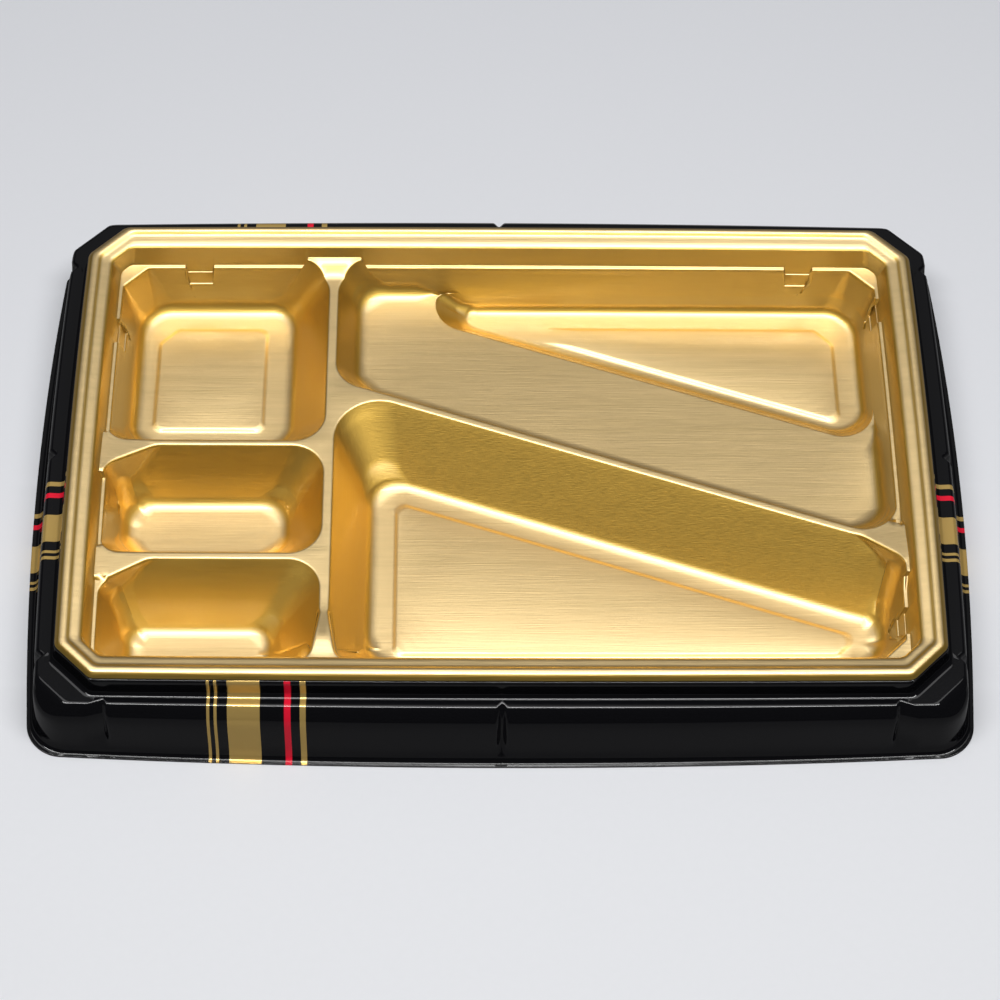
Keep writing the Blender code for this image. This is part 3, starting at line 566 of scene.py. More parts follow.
def wall_marks():
    """Points on the rim wall's foot where the web changes height."""
    marks = []
    for centre, along in NOTCHES:
        for step in range(NOTCH_STEPS + 1):
            shift = np.multiply(along, NOTCH_HALF + NOTCH_FLANK * step / NOTCH_STEPS)
            marks += [np.add(centre, shift), np.subtract(centre, shift)]
    for apex, end, _, half, _ in GUSSETS:
        span = np.subtract(end, apex)
        across = (0, 1) if abs(span[0]) > abs(span[1]) else (1, 0)
        shifts = np.arange(-half - GUSSET_MARGIN, half + GUSSET_MARGIN + 0.1, MARK_STEP)
        marks += [np.add(end, np.multiply(across, shift)) for shift in shifts]
    return marks


def web_points():
    """Places on the gussets where the web has points of its own."""
    places = []
    for apex, end, _, half, _ in GUSSETS:
        middle = np.add(apex, end) / 2.0
        reach = np.linalg.norm(np.subtract(end, apex)) / 2.0 + WEB_MARGIN
        steps = np.arange(-reach - half, reach + half, WEB_STEP)
        places += [(middle[0] + x, middle[1] + y) for x in steps for y in steps]
    return places


def edges(middle, width):
    """The two edges of a ridge's top."""
    return middle - width / 2.0, middle + width / 2.0


def compartments():
    """The five compartments: large at the back right, then three at the left and the corner one."""
    marks = wall_marks()
    slant = math.radians(SLANT_ANGLE)
    slant_half = SLANT_RIDGE_WIDTH / 2.0 / math.cos(slant)
    column_left, column_right = edges(COLUMN_RIDGE_X, COLUMN_RIDGE_WIDTH)
    upper_back, upper_front = edges(UPPER_RIDGE_Y, UPPER_RIDGE_WIDTH)
    lower_back, lower_front = edges(LOWER_RIDGE_Y, LOWER_RIDGE_WIDTH)
    taper_x = TAPER_START - POCKET_X
    taper_y = FRONT_TAPER_START - POCKET_Y
    bend_x = POCKET_X - SLANT_TAPER_START
    bend_y = SLANT_RIDGE_Y - slant_half + math.tan(slant) * bend_x
    walls = {0: (0, -POCKET_Y), 90: (POCKET_X, 0), 180: (0, POCKET_Y), 270: (-POCKET_X, 0)}

    def outer(heading, radius, lean=OUTER_LEAN):
        """A side along the rim wall."""
        return Side(heading, walls[heading], lean, radius, edge=OUTER_ROUNDING)

    def chamfered(heading, x, y, out=0.0):
        """A side along the rim wall's chamfer."""
        reach = POCKET_SUM / 2.0 + out
        return Side(heading, (x * reach, y * reach), CORNER_LEAN, CHAMFER_CORNER)

    def slipping(heading, x, y, radius=TAPER_CORNER):
        """A taper beside a gusset, which runs out towards the floor."""
        return Side(heading, (x, y), TAPER_LEAN, radius, slips=True)

    def pocket(*sides, floor=FLOOR_Z):
        return Pocket(list(sides), WEB_Z, floor, marks)

    large = pocket(Side(360 + SLANT_ANGLE, (0, SLANT_RIDGE_Y + slant_half), NEAR_LEAN, WIDE_CORNER),
                   outer(90, CHAMFER_CORNER), chamfered(135, 1, 1), outer(180, WIDE_CORNER),
                   Side(270, (column_right, 0), DIVIDER_LEAN, WIDE_CORNER), floor=SHELF_Z)
    large.fade = clear_of_trough
    square = pocket(Side(0, (0, upper_front), NEAR_LEAN, WIDE_CORNER),
                    Side(90, (column_left, 0), DIVIDER_LEAN, WIDE_CORNER), outer(180, CHAMFER_CORNER),
                    chamfered(225, -1, 1), outer(270, TIGHT_CORNER))
    middle = pocket(Side(0, (0, lower_front), NEAR_LEAN, WIDE_CORNER),
                    Side(90, (column_left, 0), DIVIDER_LEAN, WIDE_CORNER),
                    Side(180, (0, upper_back), DIVIDER_LEAN, TAPER_CORNER),
                    slipping(TAPER_HEADING, taper_x, upper_back), outer(270, TIGHT_CORNER))
    front_left = pocket(outer(0, FRONT_TAPER_CORNER), slipping(FRONT_TAPER_HEADING, column_left, taper_y),
                        Side(90, (column_left, 0), SMALL_LEAN, WIDE_CORNER),
                        Side(180, (0, lower_back), SMALL_LEAN, TAPER_CORNER),
                        slipping(TAPER_HEADING, taper_x, lower_back),
                        outer(270, CHAMFER_CORNER, SMALL_OUTER_LEAN),
                        chamfered(315, -1, -1, FRONT_CORNER_OUT))
    for side in front_left.sides:
        side.floor_radius = SMALL_FLOOR_CORNER
    corner = pocket(outer(0, CHAMFER_CORNER), chamfered(45, 1, -1), outer(90, TAPER_CORNER),
                    slipping(SLANT_TAPER_HEADING, bend_x, bend_y),
                    Side(180 + SLANT_ANGLE, (0, SLANT_RIDGE_Y - slant_half), SLANT_LEAN, BROAD_CORNER),
                    Side(270, (column_right, 0), DIVIDER_LEAN, TAPER_CORNER),
                    slipping(-FRONT_TAPER_HEADING, column_right, taper_y, FRONT_TAPER_CORNER))
    for swollen in (large, middle, front_left, corner):
        swollen.swell = CORNER_SWELL
    return large, square, middle, front_left, corner


def clear_of_trough(x, y):
    """How much of its floor fillet the large compartment keeps at a place: none beside the trough."""
    behind = smooth((x - TROUGH_END_X + SHELF_FADE) / SHELF_FADE) if y > TROUGH_Y else 0.0
    beside = smooth((y - TROUGH_RIGHT_Y + SHELF_FADE) / SHELF_FADE) if x > TROUGH_PANEL_X else 0.0
    return 1.0 - max(behind, beside)


def trough_in(large):
    """The trough, whose back and right walls carry on from those of the large compartment."""
    sides = [Side(360 + SLANT_ANGLE, (0, TROUGH_Y), TROUGH_LEAN, TROUGH_CORNER, TROUGH_FILLET)]
    for wall in large.sides[1:4]:
        reach = large.depth * math.tan(wall.lean) + SEAM
        point = wall.inward * (wall.level + reach)
        sides.append(Side(wall.heading, point, math.degrees(wall.lean), FLOOR_CORNER, TROUGH_FILLET, 0.0))
    sides[3].radius = TROUGH_BACK_CORNER
    sides[3].floor_radius = TROUGH_TIP_CORNER
    sides.append(Side(270, (TROUGH_END_X, 0), TROUGH_END_LEAN, TROUGH_CORNER, TROUGH_FILLET,
                      floor_radius=TROUGH_FLOOR_CORNER))
    seam = [place[:2] for place in large.fillet_ring(1.0)]
    return Pocket(sides, large.floor, FLOOR_Z, seam, RIM_LENGTH)


def panels():
    """Outlines of the raised panels in the square compartment, the trough and the corner one."""
    low_x, high_x, low_y, high_y = SQUARE_PANEL
    square = [(0, 0, low_y), (90, high_x, 0), (180, 0, high_y), (225, low_x, high_y - PANEL_CHAMFER),
              (270, low_x, 0)]
    trough = [(360 + SLANT_ANGLE, 0, TROUGH_PANEL_Y), (90, TROUGH_PANEL_X, 0),
              (135, TROUGH_PANEL_X, TROUGH_PANEL_TOP - PANEL_CHAMFER), (180, 0, TROUGH_PANEL_TOP)]
    corner = [(0, 0, CORNER_PANEL_FRONT), (45, CORNER_PANEL_END, CORNER_PANEL_FRONT),
              (180 + SLANT_ANGLE, 0, CORNER_PANEL_Y), (270, CORNER_PANEL_X, 0)]
    return [Outline([Side(heading, (x, y), 0, PANEL_CORNER) for heading, x, y in rows])
            for rows in (square, trough, corner)]


def add_panel(sheet, outline):
    """A raised panel with eased edges, and the ring where it meets the floor."""
    rings = []
    for share in shares_of(PANEL_STEPS):
        points, _ = outline.path([PANEL_RUN * share] * len(outline.sides), outline.radii)
        rings.append(sheet.ring([(x, y, FLOOR_Z + PANEL_RISE * smooth(share)) for x, y in points]))
    sheet.bands(rings)
    sheet.fill(rings[-1])
    return rings[0]


def add_pocket(sheet, pocket, surface):
    """A compartment's rings from its top edge to its floor; gives the first and the last."""
    edge = [pocket.edge_ring(share, surface) for share in shares_of(EDGE_STEPS)]
    fillet = [pocket.fillet_ring(share) for share in shares_of(FILLET_STEPS)]
    walls = [pocket.wall_ring(share, edge[-1], fillet[0]) for share in shares_of(WALL_STEPS)[1:-1]]
    rings = [sheet.ring(places) for places in edge + walls + fillet]
    sheet.bands(rings)
    return rings[0], rings[-1]


def spline(rows):
    """A smooth curve through rows of numbers."""
    rows = np.array(rows)
    padded = np.vstack((2.0 * rows[0] - rows[1], rows, 2.0 * rows[-1] - rows[-2]))
    curve = []
    for i in range(1, len(padded) - 2):
        before, one, two, after = padded[i - 1:i + 3]
        for t in shares_of(SPLINE_STEPS)[:-1]:
            bend = 2.0 * before - 5.0 * one + 4.0 * two - after
            twist = 3.0 * one - before - 3.0 * two + after
            curve.append(0.5 * (2.0 * one + (two - before) * t + bend * t ** 2 + twist * t ** 3))
    curve.append(rows[-1])
    return curve


def rim_rings(sheet):
    """The insert's rim: lip, bead, shelf and the wall down to the web."""
    outline = rim_outline()
    rings = []
    for inset, corner, rise in spline(RIM_PROFILE):
        insets = [inset - CUP_FOOT, corner - CUP_FOOT_CORNER] * 4
        insets[4] -= BACK_BEAD_SHIFT * math.sin(math.pi * inset / CUP_TOP)
        points, _ = outline.path(insets, outline.radii)
        rings.append(sheet.ring([(x, y, RIM_HEIGHT + rise) for x, y in points]))
    points, normals = outline.path(outline.flat, outline.radii)
    for share in shares_of(CUP_FILLET_STEPS):
        inset, rise = fillet_at(CUP_FILLET, math.atan(CUP_SLOPE), share)
        foot = []
        for point, normal in zip(points, normals):
            lift = ground(*point)
            place = point + normal * (CUP_SLOPE * lift - inset)
            foot.append((*place, WEB_Z + lift + rise))
        rings.append(sheet.ring(foot))
    sheet.bands(rings)
    return rings[-1]


def make_insert(material):
    """The gold insert."""
    sheet = Sheet()
    foot = rim_rings(sheet)
    large, *others = compartments()
    square_panel, trough_panel, corner_panel = panels()
    top, shelf = add_pocket(sheet, large, ground)
    tops = [top]
    trough_top, trough_floor = add_pocket(sheet, trough_in(large), lambda x, y: 0.0)
    sheet.fill(shelf, [trough_top])
    sheet.fill(trough_floor, [add_panel(sheet, trough_panel)])
    for pocket, panel in zip(others, (square_panel, None, None, corner_panel)):
        top, floor = add_pocket(sheet, pocket, ground)
        tops.append(top)
        sheet.fill(floor, [add_panel(sheet, panel)] if panel else [])
    sheet.fill(foot, tops, web_points(), lambda x, y: WEB_Z + ground(x, y))
    return sheet.finish("gold_insert", INSERT_SHEET, [material])


# Outer tray, with depths below the insert's rim and outsets from its edge
LEDGE_DEPTH = 7.1
LEDGE_OUT_X = 5.95
LEDGE_OUT_Y = 4.8
LEDGE_CHAMFER = 8.6
CONCAVE_DEPTH = 7.36
LIP_DEPTH = RIM_HEIGHT - TRAY_SHEET - 0.01
SEAT_DEPTH = INSERT_SHEET + SEAT_CLEARANCE + 0.35
UNDER_WEB = WEB_DEPTH + INSERT_SHEET + SEAT_CLEARANCE
WALL_GAP = INSERT_SHEET * math.sqrt(1.0 + CUP_SLOPE ** 2) + WALL_CLEARANCE
BASE_DEPTH = RIM_HEIGHT - BASE_THICKNESS
BASE_FILLET = 3.0
BASE_STEPS = 6

# Skirt: depth, outsets in X and Y, bow in X and Y
SKIRT_PROFILE = [
    (LIP_DEPTH, 9.29, 11.79, 4.68, 3.87), (LIP_DEPTH, 8.8, 11.3, 4.6, 3.8),
    (LIP_DEPTH - 0.05, 8.3, 10.8, 4.5, 3.7), (LIP_DEPTH - 0.5, 7.8, 10.2, 4.2, 3.5),
    (LIP_DEPTH - 1.6, 7.4, 9.8, 3.8, 3.2), (22.4, 7.2, 9.4, 3.35, 2.9), (19.0, 7.0, 8.9, 3.0, 2.6),
    (15.0, 6.8, 8.4, 2.7, 2.2), (12.0, 6.6, 7.9, 2.45, 1.9), (10.0, 6.4, 7.1, 2.3, 1.6),
    (8.9, 6.1, 6.2, 2.2, 1.6), (8.3, 6.0, 5.7, 2.18, 1.55), (7.9, 5.82, 5.34, 2.15, 1.5),
    (7.6, 5.58, 5.02, 2.13, 1.45), (7.4, 5.35, 4.76, 2.11, 1.4), (7.27, 5.1, 4.5, 2.11, 1.35),
    (7.19, 4.8, 4.2, 2.11, 1.3), (7.17, 4.4, 3.9, 2.11, 1.3),
]

# Upper wall and rim: depth, outsets in X and Y, bow in X and Y, outset at the corners
UPPER_PROFILE = [
    (CONCAVE_DEPTH, 2.3, 2.5, 2.0, 1.0, 3.0), (CONCAVE_DEPTH - 0.03, 1.96, 2.15, 2.0, 1.0, 2.5),
    (CONCAVE_DEPTH - 0.13, 1.6, 1.79, 1.95, 0.95, 2.0), (CONCAVE_DEPTH - 0.34, 1.25, 1.45, 1.8, 0.9, 1.5),
    (CONCAVE_DEPTH - 0.72, 0.92, 1.13, 1.65, 0.85, 1.1), (CONCAVE_DEPTH - 1.2, 0.74, 0.96, 1.5, 0.8, 0.8),
    (CONCAVE_DEPTH - 3.0, 0.6, 0.85, 1.3, 0.75, 0.45), (SEAT_DEPTH + 0.9, 0.45, 0.7, 1.25, 0.75, 0.3),
    (SEAT_DEPTH + 0.4, 0.3, 0.6, 1.25, 0.75, 0.15), (SEAT_DEPTH + 0.1, 0.0, 0.2, 1.25, 0.75, 0.0),
    (SEAT_DEPTH, -0.6, -0.4, 1.25, 0.75, -0.4),
]

# Seat, from the rim into the inner wall: depth and how far into the tray
SEAT_PROFILE = [(SEAT_DEPTH, -1.0), (SEAT_DEPTH + 0.15, -0.35), (SEAT_DEPTH + 0.8, 0.0), (UNDER_WEB, 0.0)]

# Tray's corners
CORNER_ZONE = 15.0
CORNER_STEPS = 36
CORNER_SHARPNESS = 50.0
TRAY_CORNER_RADIUS = 9.5
INNER_CORNER_RADIUS = 3.0
BACK_CORNER_RADIUS = 14.5
BACK_CORNER_START = 2.0
BACK_CORNER_FADE = 6.0
FACET_SLOPE = 1.5
BACK_FACET_SLOPE = 0.35
BACK_REACH = 1.3
BACK_REACH_FADE = 12.0

# Straight runs of the tray's sides, and the grooves in its skirt
RUN_X = 116.0
RUN_Y = 72.0
GROOVE_DEPTH = 1.5
GROOVE_WIDTH = 3.8
GROOVE_FADE = 18.0
GROOVE_END = 24.0
GROOVE_X = 116.3
GROOVE_Y = 70.8
GROOVE_POINTS = 0.5


def groove(x, y, depth):
    """How far the skirt is pressed in at a place on it."""
    fade = smooth((GROOVE_END - depth) / (GROOVE_END - GROOVE_FADE))
    places = [abs(x)] if y > 0.0 else [abs(abs(x) - GROOVE_X), abs(x)]
    if abs(x) - HALF_LENGTH > abs(y) - HALF_WIDTH:
        places = [abs(abs(y) - GROOVE_Y), abs(y)]
    return GROOVE_DEPTH * fade * max(smooth(1.0 - 2.0 * place / GROOVE_WIDTH) for place in places)


def side_places(limit, groove_place, room):
    """Where a side's straight run has points, drawn in to its room: evenly, closely at grooves."""
    places = set(np.round(np.linspace(-limit, limit, round(limit / 2.0) * 2 + 1), 3))
    for centre in (-groove_place, 0.0, groove_place):
        for shift in np.arange(-GROOVE_WIDTH / 2.0, GROOVE_WIDTH / 2.0 + 0.1, GROOVE_POINTS):
            places.add(round(centre + shift, 3))
    return [place * min(1.0, room / limit) for place in sorted(places) if abs(place) <= limit]


def tray_points(half_x, half_y, front, back):
    """Points around the tray: a rectangle with rounded corners that a chamfer cuts off.

    The front corners and the back ones each have |x| + |y| on their chamfer, and their radius.
    """
    points, normals = [], []
    run_x = side_places(RUN_X, GROOVE_X, half_x - CORNER_ZONE)
    run_y = side_places(RUN_Y, GROOVE_Y, half_y - CORNER_ZONE)
    for quarter in range(4):
        turn = quarter * math.pi / 2.0
        out = np.array((math.sin(turn), -math.cos(turn)))
        along = np.array((math.cos(turn), math.sin(turn)))
        away, ahead, run = (half_x, half_y, run_y) if quarter % 2 else (half_y, half_x, run_x)
        points += [out * away + along * place for place in run]
        normals += [out] * len(run)
        centre = out * (away - CORNER_ZONE) + along * (ahead - CORNER_ZONE)
        total, rounding = back if quarter in (1, 2) else front
        cut = (total - abs(centre[0]) - abs(centre[1])) / ROOT_TWO
        core = CORNER_ZONE - rounding
        for k in range(CORNER_STEPS + 1):
            angle = math.pi / 2.0 * k / CORNER_STEPS
            across, forward = math.cos(angle), math.sin(angle)
            reach = CORNER_ZONE / max(across, forward)
            middle = core * (across + forward)
            curve = middle + math.sqrt(max(0.0, rounding ** 2 - 2.0 * core ** 2 + middle ** 2))
            if min(curve * across, curve * forward) > core:
                reach = min(reach, curve)
            chamfer = cut / max(1e-6, (across + forward) / ROOT_TWO)
            reach = (reach ** -CORNER_SHARPNESS + chamfer ** -CORNER_SHARPNESS) ** (-1.0 / CORNER_SHARPNESS)
            points.append(centre + out * across * reach + along * forward * reach)
            normals.append(out * across + along * forward)
    return points, normals


def make_outer(materials):
    """The black outer tray: lip, skirt, ledge, upper wall, rim, inner wall and floor."""
    sheet = Sheet()
    edge_total = HALF_LENGTH + HALF_WIDTH + LEDGE_OUT_X + LEDGE_OUT_Y - LEDGE_CHAMFER

    def ring(depth, out_x, out_y, bow, total, radius=TRAY_CORNER_RADIUS, back=None):
        half_x = HALF_LENGTH + out_x
        half_y = HALF_WIDTH + out_y
        points, normals = tray_points(half_x, half_y, (total, radius), back or (total, radius))
        placed = []
        for point, normal in zip(points, normals):
            if back:
                point = point - normal * groove(point[0], point[1], depth)
                reach = BACK_REACH * smooth(point[1] / HALF_WIDTH)
                point[1] += reach * smooth((LIP_DEPTH - depth) / BACK_REACH_FADE)
            placed.append((*point, RIM_HEIGHT - depth))
        return sheet.ring(placed, bow, half_x, half_y)

    def inner(depth, spread, radius):
        """A ring on the inner wall, outside the insert's wall; spread moves it into the tray."""
        fall = depth - CUP_TOP_DEPTH
        below = max(0.0, depth - UNDER_WEB)
        inset = CUP_TOP + CUP_SLOPE * fall - WALL_GAP + spread
        corner = CUP_TOP_CORNER + CUP_CORNER_SLOPE * (fall - below) - WALL_GAP + spread
        corner += math.tan(math.radians(CORNER_LEAN)) * below
        return ring(depth, -inset, -inset, RIM_BOW, CHAMFER_SUM - ROOT_TWO * corner, radius)

    rings = []
    for depth, out_x, out_y, *bow in spline(SKIRT_PROFILE):
        below = depth - LEDGE_DEPTH
        total = edge_total - ROOT_TWO * max(0.0, LEDGE_OUT_X - out_x)
        share = smooth((below - BACK_CORNER_START) / BACK_CORNER_FADE)
        rounding = TRAY_CORNER_RADIUS + (BACK_CORNER_RADIUS - TRAY_CORNER_RADIUS) * share
        back = (total - BACK_REACH + BACK_FACET_SLOPE * below, rounding)
        rings.append(ring(depth, out_x, out_y, bow, total + FACET_SLOPE * below, back=back))
    for depth, out_x, out_y, *bow, corner in UPPER_PROFILE:
        rings.append(ring(depth, out_x, out_y, bow, CHAMFER_SUM + ROOT_TWO * corner))
    for depth, spread in SEAT_PROFILE:
        rings.append(inner(depth, spread, INNER_CORNER_RADIUS))
    for step in range(BASE_STEPS + 1):
        angle = math.pi / 2.0 * step / BASE_STEPS
        rings.append(inner(BASE_DEPTH - BASE_FILLET * (1.0 - math.sin(angle)),
                           BASE_FILLET * (1.0 - math.cos(angle)), TRAY_CORNER_RADIUS))
    sheet.bands(rings)
    sheet.fill(rings[-1])
    return sheet.finish("black_tray", TRAY_SHEET, materials)


class Graph:
    """A material's nodes and links, made in short calls."""

    def __init__(self, name):
        self.material = bpy.data.materials.new(name)
        self.material.use_nodes = True
        self.nodes = self.material.node_tree.nodes
        self.shader = self.nodes["Principled BSDF"]
        self.place = self.nodes.new("ShaderNodeTexCoord").outputs["Object"]
        self.x, self.y, _ = self.add("ShaderNodeSeparateXYZ", Vector=self.place).outputs

    def set(self, socket, value):
        """Set an input to a constant or link it to an output."""
        if isinstance(value, bpy.types.NodeSocket):
            self.material.node_tree.links.new(value, socket)
        else:
            socket.default_value = value

    def fit(self, node, **values):
        """Set a node's inputs by their names."""
        for name, value in values.items():
            self.set(node.inputs[name.replace("_", " ")], value)

    def add(self, kind, **values):
        """A new node with some of its inputs set."""
        node = self.nodes.new(kind)
        self.fit(node, **values)
        return node

    def math(self, operation, *values):
        """A math node's output."""
        node = self.nodes.new("ShaderNodeMath")
        node.operation = operation
        for socket, value in zip(node.inputs, values):
            self.set(socket, value)
        return node.outputs[0]

    def noise(self, scales, detail, roughness):
        """Noise whose grain is stretched by scales, which are counts per metre."""
        node = self.add("ShaderNodeVectorMath", Vector=self.place)
        node.operation = "MULTIPLY"
        self.set(node.inputs[1], scales)
        return self.add("ShaderNodeTexNoise", Vector=node.outputs[0], Scale=1.0, Detail=detail,
                        Roughness=roughness).outputs["Fac"]

    def range(self, value, low, high, new_low=0.0, new_high=1.0):
        """Map a value from one range to another."""
        return self.add("ShaderNodeMapRange", Value=value, From_Min=low, From_Max=high, To_Min=new_low,
                        To_Max=new_high).outputs["Result"]

    def bump(self, height, distance, strength, **below):
        """A bump over another normal."""
        return self.add("ShaderNodeBump", Height=height, Distance=distance, Strength=strength,
                        **below).outputs["Normal"]

    def facing(self, axis):
        """The part of a face's normal along an axis."""
        normal = self.nodes.new("ShaderNodeNewGeometry").outputs["Normal"]
        return self.add("ShaderNodeSeparateXYZ", Vector=normal).outputs[axis]

    def mix(self, factor, first, second):
        """Mix two colours."""
        node = self.nodes.new("ShaderNodeMix")
        node.data_type = "RGBA"
        self.fit(node, Factor=factor, A=first, B=second)
        return node.outputs["Result"]


# Gold: its flats in their two tones, a more saturated tone on slopes that is a painted reflection of light
# bounced between the gold walls, and a darker tone on steep walls that is painted shade
GOLD_DEEP = (0.89, 0.665, 0.32, 1.0)
GOLD_PALE = (0.97, 0.725, 0.36, 1.0)
GOLD_SLOPE_PAINTED_REFLECTION = (0.95, 0.61, 0.12, 1.0)
GOLD_WALL_PAINTED_SHADE = (0.66, 0.51, 0.19, 1.0)


def gold_material():
    """Satin gold metallised sheet, with a fine grain that follows the walls, and painted light by
    steepness: a painted reflection tone on slopes and painted shade on steep walls.
    """
    graph = Graph("Satin gold")
    along = graph.noise((70.0, 3200.0, 1800.0), 3.0, 0.6)
    across = graph.noise((3200.0, 70.0, 1800.0), 3.0, 0.6)
    sideways = graph.range(graph.math("ABSOLUTE", graph.facing("X")), 0.25, 0.45)
    grain = graph.math("MULTIPLY_ADD", graph.math("SUBTRACT", across, along), sideways, along)
    bands = graph.noise((9.0, 420.0, 260.0), 2.0, 0.5)
    waves = graph.noise((38.0, 38.0, 38.0), 1.0, 0.4)
    colour = graph.mix(graph.range(bands, 0.3, 0.7), GOLD_DEEP, GOLD_PALE)
    # Painted light: slopes take a more saturated tone for light bounced between the walls, and steep walls
    # take a darker tone for shade
    colour = graph.mix(graph.range(graph.facing("Z"), 0.93, 0.82), colour, GOLD_SLOPE_PAINTED_REFLECTION)
    colour = graph.mix(graph.range(graph.facing("Z"), 0.6, 0.3), colour, GOLD_WALL_PAINTED_SHADE)
    wavy = graph.bump(waves, 0.0006, 0.35)
    graph.fit(graph.shader, Base_Color=colour, Metallic=1.0, Coat_Weight=1.0, Coat_Roughness=0.17,
              Roughness=graph.range(grain, 0.3, 0.7, 0.41, 0.49),
              Normal=graph.bump(grain, 0.00006, 0.8, Normal=wavy))
    return graph.material


# Printed stripes: their colours, and where each starts and ends
STRIPE_BLACK = (0.004, 0.004, 0.005, 1.0)
STRIPE_GOLD = (0.8, 0.54, 0.17, 1.0)
STRIPE_RED = (0.85, 0.012, 0.04, 1.0)
STRIPE_COLOURS = [STRIPE_GOLD] * 3 + [STRIPE_RED, STRIPE_GOLD]
FRONT_STRIPES = [(-86.0, -85.0), (-83.9, -82.9), (-80.0, -70.5), (-63.4, -61.6), (-58.8, -57.2)]
SIDE_STRIPES = [(-38.0, -37.0), (-35.9, -34.9), (-31.8, -22.3), (-16.1, -14.4), (-12.0, -10.4)]
STRIPE_SKEW = -0.0085
STRIPE_SHIFT = -0.8
PRINT_DEPTH = 3.0
GILT_METALLIC = 0.55


def stripes(graph, coordinate, rows, low, high):
    """Colour of a row of printed stripes across a coordinate given in metres."""
    ramp = graph.add("ShaderNodeValToRGB", Fac=graph.range(coordinate, low * MM, high * MM))
    ramp.color_ramp.interpolation = "CONSTANT"
    elements = ramp.color_ramp.elements
    elements[0].color = STRIPE_BLACK
    elements[1].color = STRIPE_BLACK
    for (start, end), colour in zip(rows, STRIPE_COLOURS):
        elements.new((start - low) / (high - low)).color = colour
        elements.new((end - low) / (high - low)).color = STRIPE_BLACK
    return ramp.outputs["Color"]


def black_material(name, printed):
    """Gloss black sheet, with or without its printed stripes."""
    graph = Graph(name)
    waves = graph.noise((45.0, 45.0, 45.0), 1.0, 0.4)
    fine = graph.noise((900.0, 900.0, 900.0), 2.0, 0.6)
    colour = STRIPE_BLACK
    metallic = 0.0
    if printed:
        skewed = graph.math("MULTIPLY_ADD", graph.y, STRIPE_SKEW, graph.x)
        front = stripes(graph, graph.math("ADD", skewed, STRIPE_SHIFT * MM), FRONT_STRIPES, -95.0, -50.0)
        side = stripes(graph, graph.y, SIDE_STRIPES, -45.0, -5.0)
        beyond_x = graph.math("SUBTRACT", graph.math("ABSOLUTE", graph.x), HALF_LENGTH * MM)
        beyond_y = graph.math("SUBTRACT", graph.math("ABSOLUTE", graph.y), HALF_WIDTH * MM)
        on_side = graph.math("GREATER_THAN", beyond_x, beyond_y)
        outside = graph.math("GREATER_THAN", graph.math("MAXIMUM", beyond_x, beyond_y), -PRINT_DEPTH * MM)
        colour = graph.mix(outside, STRIPE_BLACK, graph.mix(on_side, front, side))
        green = graph.add("ShaderNodeSeparateColor", Color=colour).outputs["Green"]
        metallic = graph.math("MULTIPLY", graph.math("GREATER_THAN", green, 0.2), GILT_METALLIC)
    wavy = graph.bump(waves, 0.0004, 0.3)
    graph.fit(graph.shader, Base_Color=colour, Metallic=metallic,
              Roughness=graph.range(fine, 0.3, 0.7, 0.06, 0.1),
              Normal=graph.bump(fine, 0.00001, 0.3, Normal=wavy))
    return graph.material


# Table: its two tones in front, a darker tone far behind that is painted shade, and a dark tone that is
# painted shade in what the gloss mirrors of it
TABLE_DEEP = (0.88, 0.89, 0.92, 1.0)
TABLE_PALE = (0.9, 0.91, 0.94, 1.0)
TABLE_FAR_PAINTED_SHADE = (0.69, 0.705, 0.75, 1.0)
TABLE_MIRRORED_PAINTED_SHADE = (0.16, 0.16, 0.165, 1.0)
TABLE_REACH = 3.0


def table_material():
    """The pale table, with painted shade that darkens it towards the back, and a darker painted shade where
    glossy rays see it.
    """
    graph = Graph("Pale table")
    near = graph.mix(graph.noise((400.0, 400.0, 400.0), 2.0, 0.5), TABLE_DEEP, TABLE_PALE)
    # Painted shade: the table darkens towards the back
    pale = graph.mix(graph.range(graph.y, -0.25, 0.45), near, TABLE_FAR_PAINTED_SHADE)
    mirrored = graph.nodes.new("ShaderNodeLightPath").outputs["Is Glossy Ray"]
    # Painted shade in reflections: glossy rays see the table dark
    graph.fit(graph.shader, Base_Color=graph.mix(mirrored, pale, TABLE_MIRRORED_PAINTED_SHADE), Roughness=0.6)
    return graph.material


def add_table():
    """The table that the container stands on."""
    mesh = bpy.data.meshes.new("table")
    corners = [(-1, -1), (1, -1), (1, 1), (-1, 1)]
    mesh.from_pydata([(x * TABLE_REACH, y * TABLE_REACH, 0) for x, y in corners], [], [(0, 1, 2, 3)])
    mesh.materials.append(table_material())
    table = add_object("table", mesh)


def add_panel_light(name, place, aim, size, radiance):
    """A rectangular lamp that faces a point, with the given radiance."""
    lamp = bpy.data.lights.new(name, "AREA")
    lamp.shape = "RECTANGLE"
    lamp.size, lamp.size_y = size
    lamp.energy = radiance * math.pi * size[0] * size[1]
    holder = add_object(name, lamp)
    holder.location = place
    holder.rotation_euler = (Vector(aim) - Vector(place)).to_track_quat("-Z", "Y").to_euler()


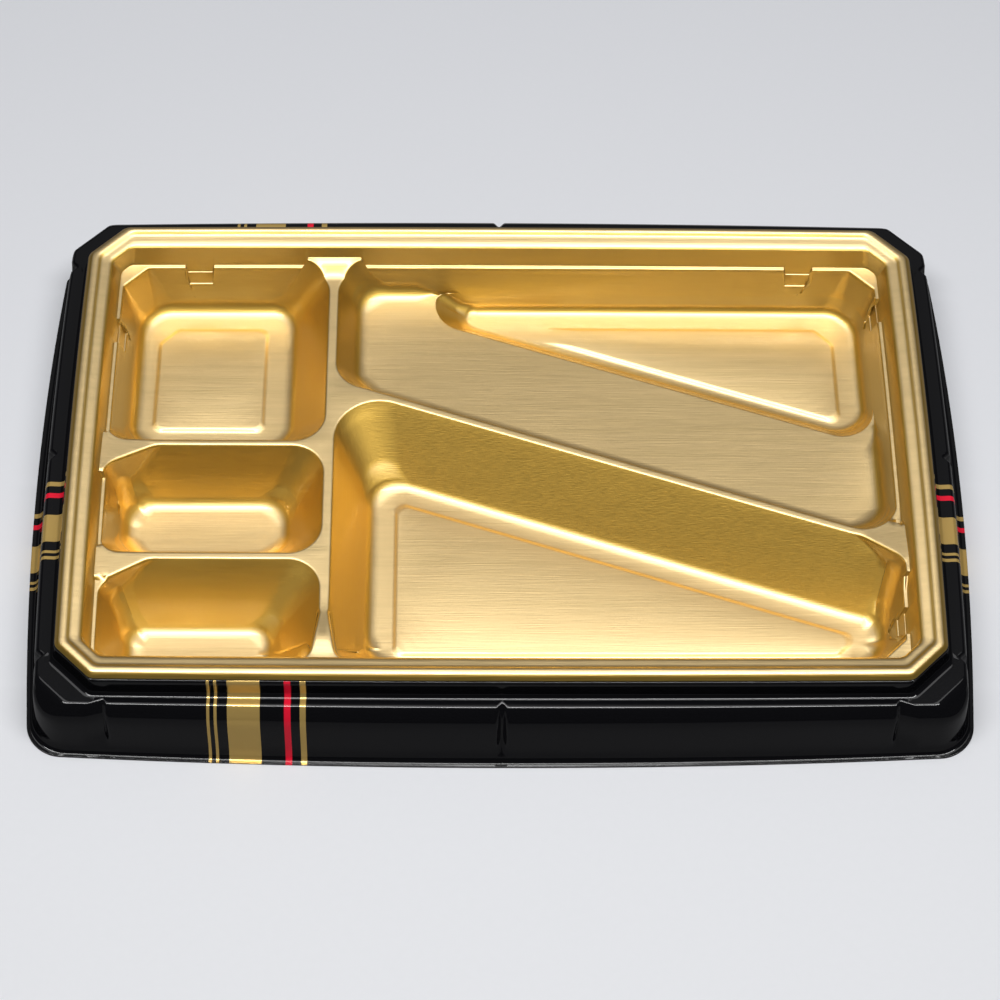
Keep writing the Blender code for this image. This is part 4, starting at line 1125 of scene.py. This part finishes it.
def add_lights():
    """A strip and a softbox overhead, a pale wall behind and a dim, plain world."""
    add_panel_light("strip", (0.0, -0.12, 1.1), (0.0, -0.02, 0.0), (1.5, 0.06), 29.0)
    add_panel_light("softbox", (0.0, 0.06, 1.12), (0.0, 0.06, 0.0), (1.2, 0.8), 1.65)
    add_panel_light("wall", (0.0, 1.0, 1.1), (0.0, 0.0, 0.0), (2.4, 0.9), 0.15)
    world = bpy.data.worlds.new("world")
    world.use_nodes = True
    background = world.node_tree.nodes["Background"]
    background.inputs["Color"].default_value = (0.95, 0.97, 1.0, 1.0)
    background.inputs["Strength"].default_value = 0.03
    bpy.context.scene.world = world


# Camera: found by fitting the outlines in the photo
CAMERA_ELEVATION = 57.0
CAMERA_YAW = 1.498
CAMERA_ROLL = 1.435
CAMERA_PLACE = (-12.989, -502.811, 742.078 + RIM_HEIGHT)
CAMERA_LENS = 105.99


def add_camera():
    """The photo's camera."""
    elevation, yaw, roll = map(math.radians, (CAMERA_ELEVATION, CAMERA_YAW, CAMERA_ROLL))
    level = math.cos(elevation)
    forward = Vector((math.sin(yaw) * level, math.cos(yaw) * level, -math.sin(elevation)))
    right = Vector((math.cos(yaw), -math.sin(yaw), 0.0))
    up = right.cross(forward)
    side = right * math.cos(roll) + up * math.sin(roll)
    top = up * math.cos(roll) - right * math.sin(roll)
    camera = bpy.data.cameras.new("camera")
    camera.lens = CAMERA_LENS
    camera.sensor_width = 36.0
    camera.sensor_fit = "HORIZONTAL"
    camera.clip_start = 0.01
    holder = add_object("camera", camera)
    turn = Matrix((side, top, -forward)).transposed().to_4x4()
    holder.matrix_world = Matrix.Translation(Vector(CAMERA_PLACE) * MM) @ turn
    bpy.context.scene.camera = holder


def place_piece(piece, body, node):
    """Let a piece stand for a CAD node and move with its body."""
    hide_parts(node)
    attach(piece, body)


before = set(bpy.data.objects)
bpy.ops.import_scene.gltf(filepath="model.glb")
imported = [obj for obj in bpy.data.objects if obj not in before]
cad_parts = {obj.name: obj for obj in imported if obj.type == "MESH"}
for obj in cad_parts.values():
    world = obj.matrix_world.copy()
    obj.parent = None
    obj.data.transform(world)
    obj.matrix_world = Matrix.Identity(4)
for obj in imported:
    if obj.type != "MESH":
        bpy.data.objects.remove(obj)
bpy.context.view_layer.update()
add_camera()
place_piece(make_insert(gold_material()), "inner_tray", "inner_tray")
place_piece(make_outer([black_material("Printed black", True), black_material("Gloss black", False)]),
            "outer_tray", "outer_tray")
add_table()
add_lights()
bpy.context.scene.view_settings.view_transform = "Standard"
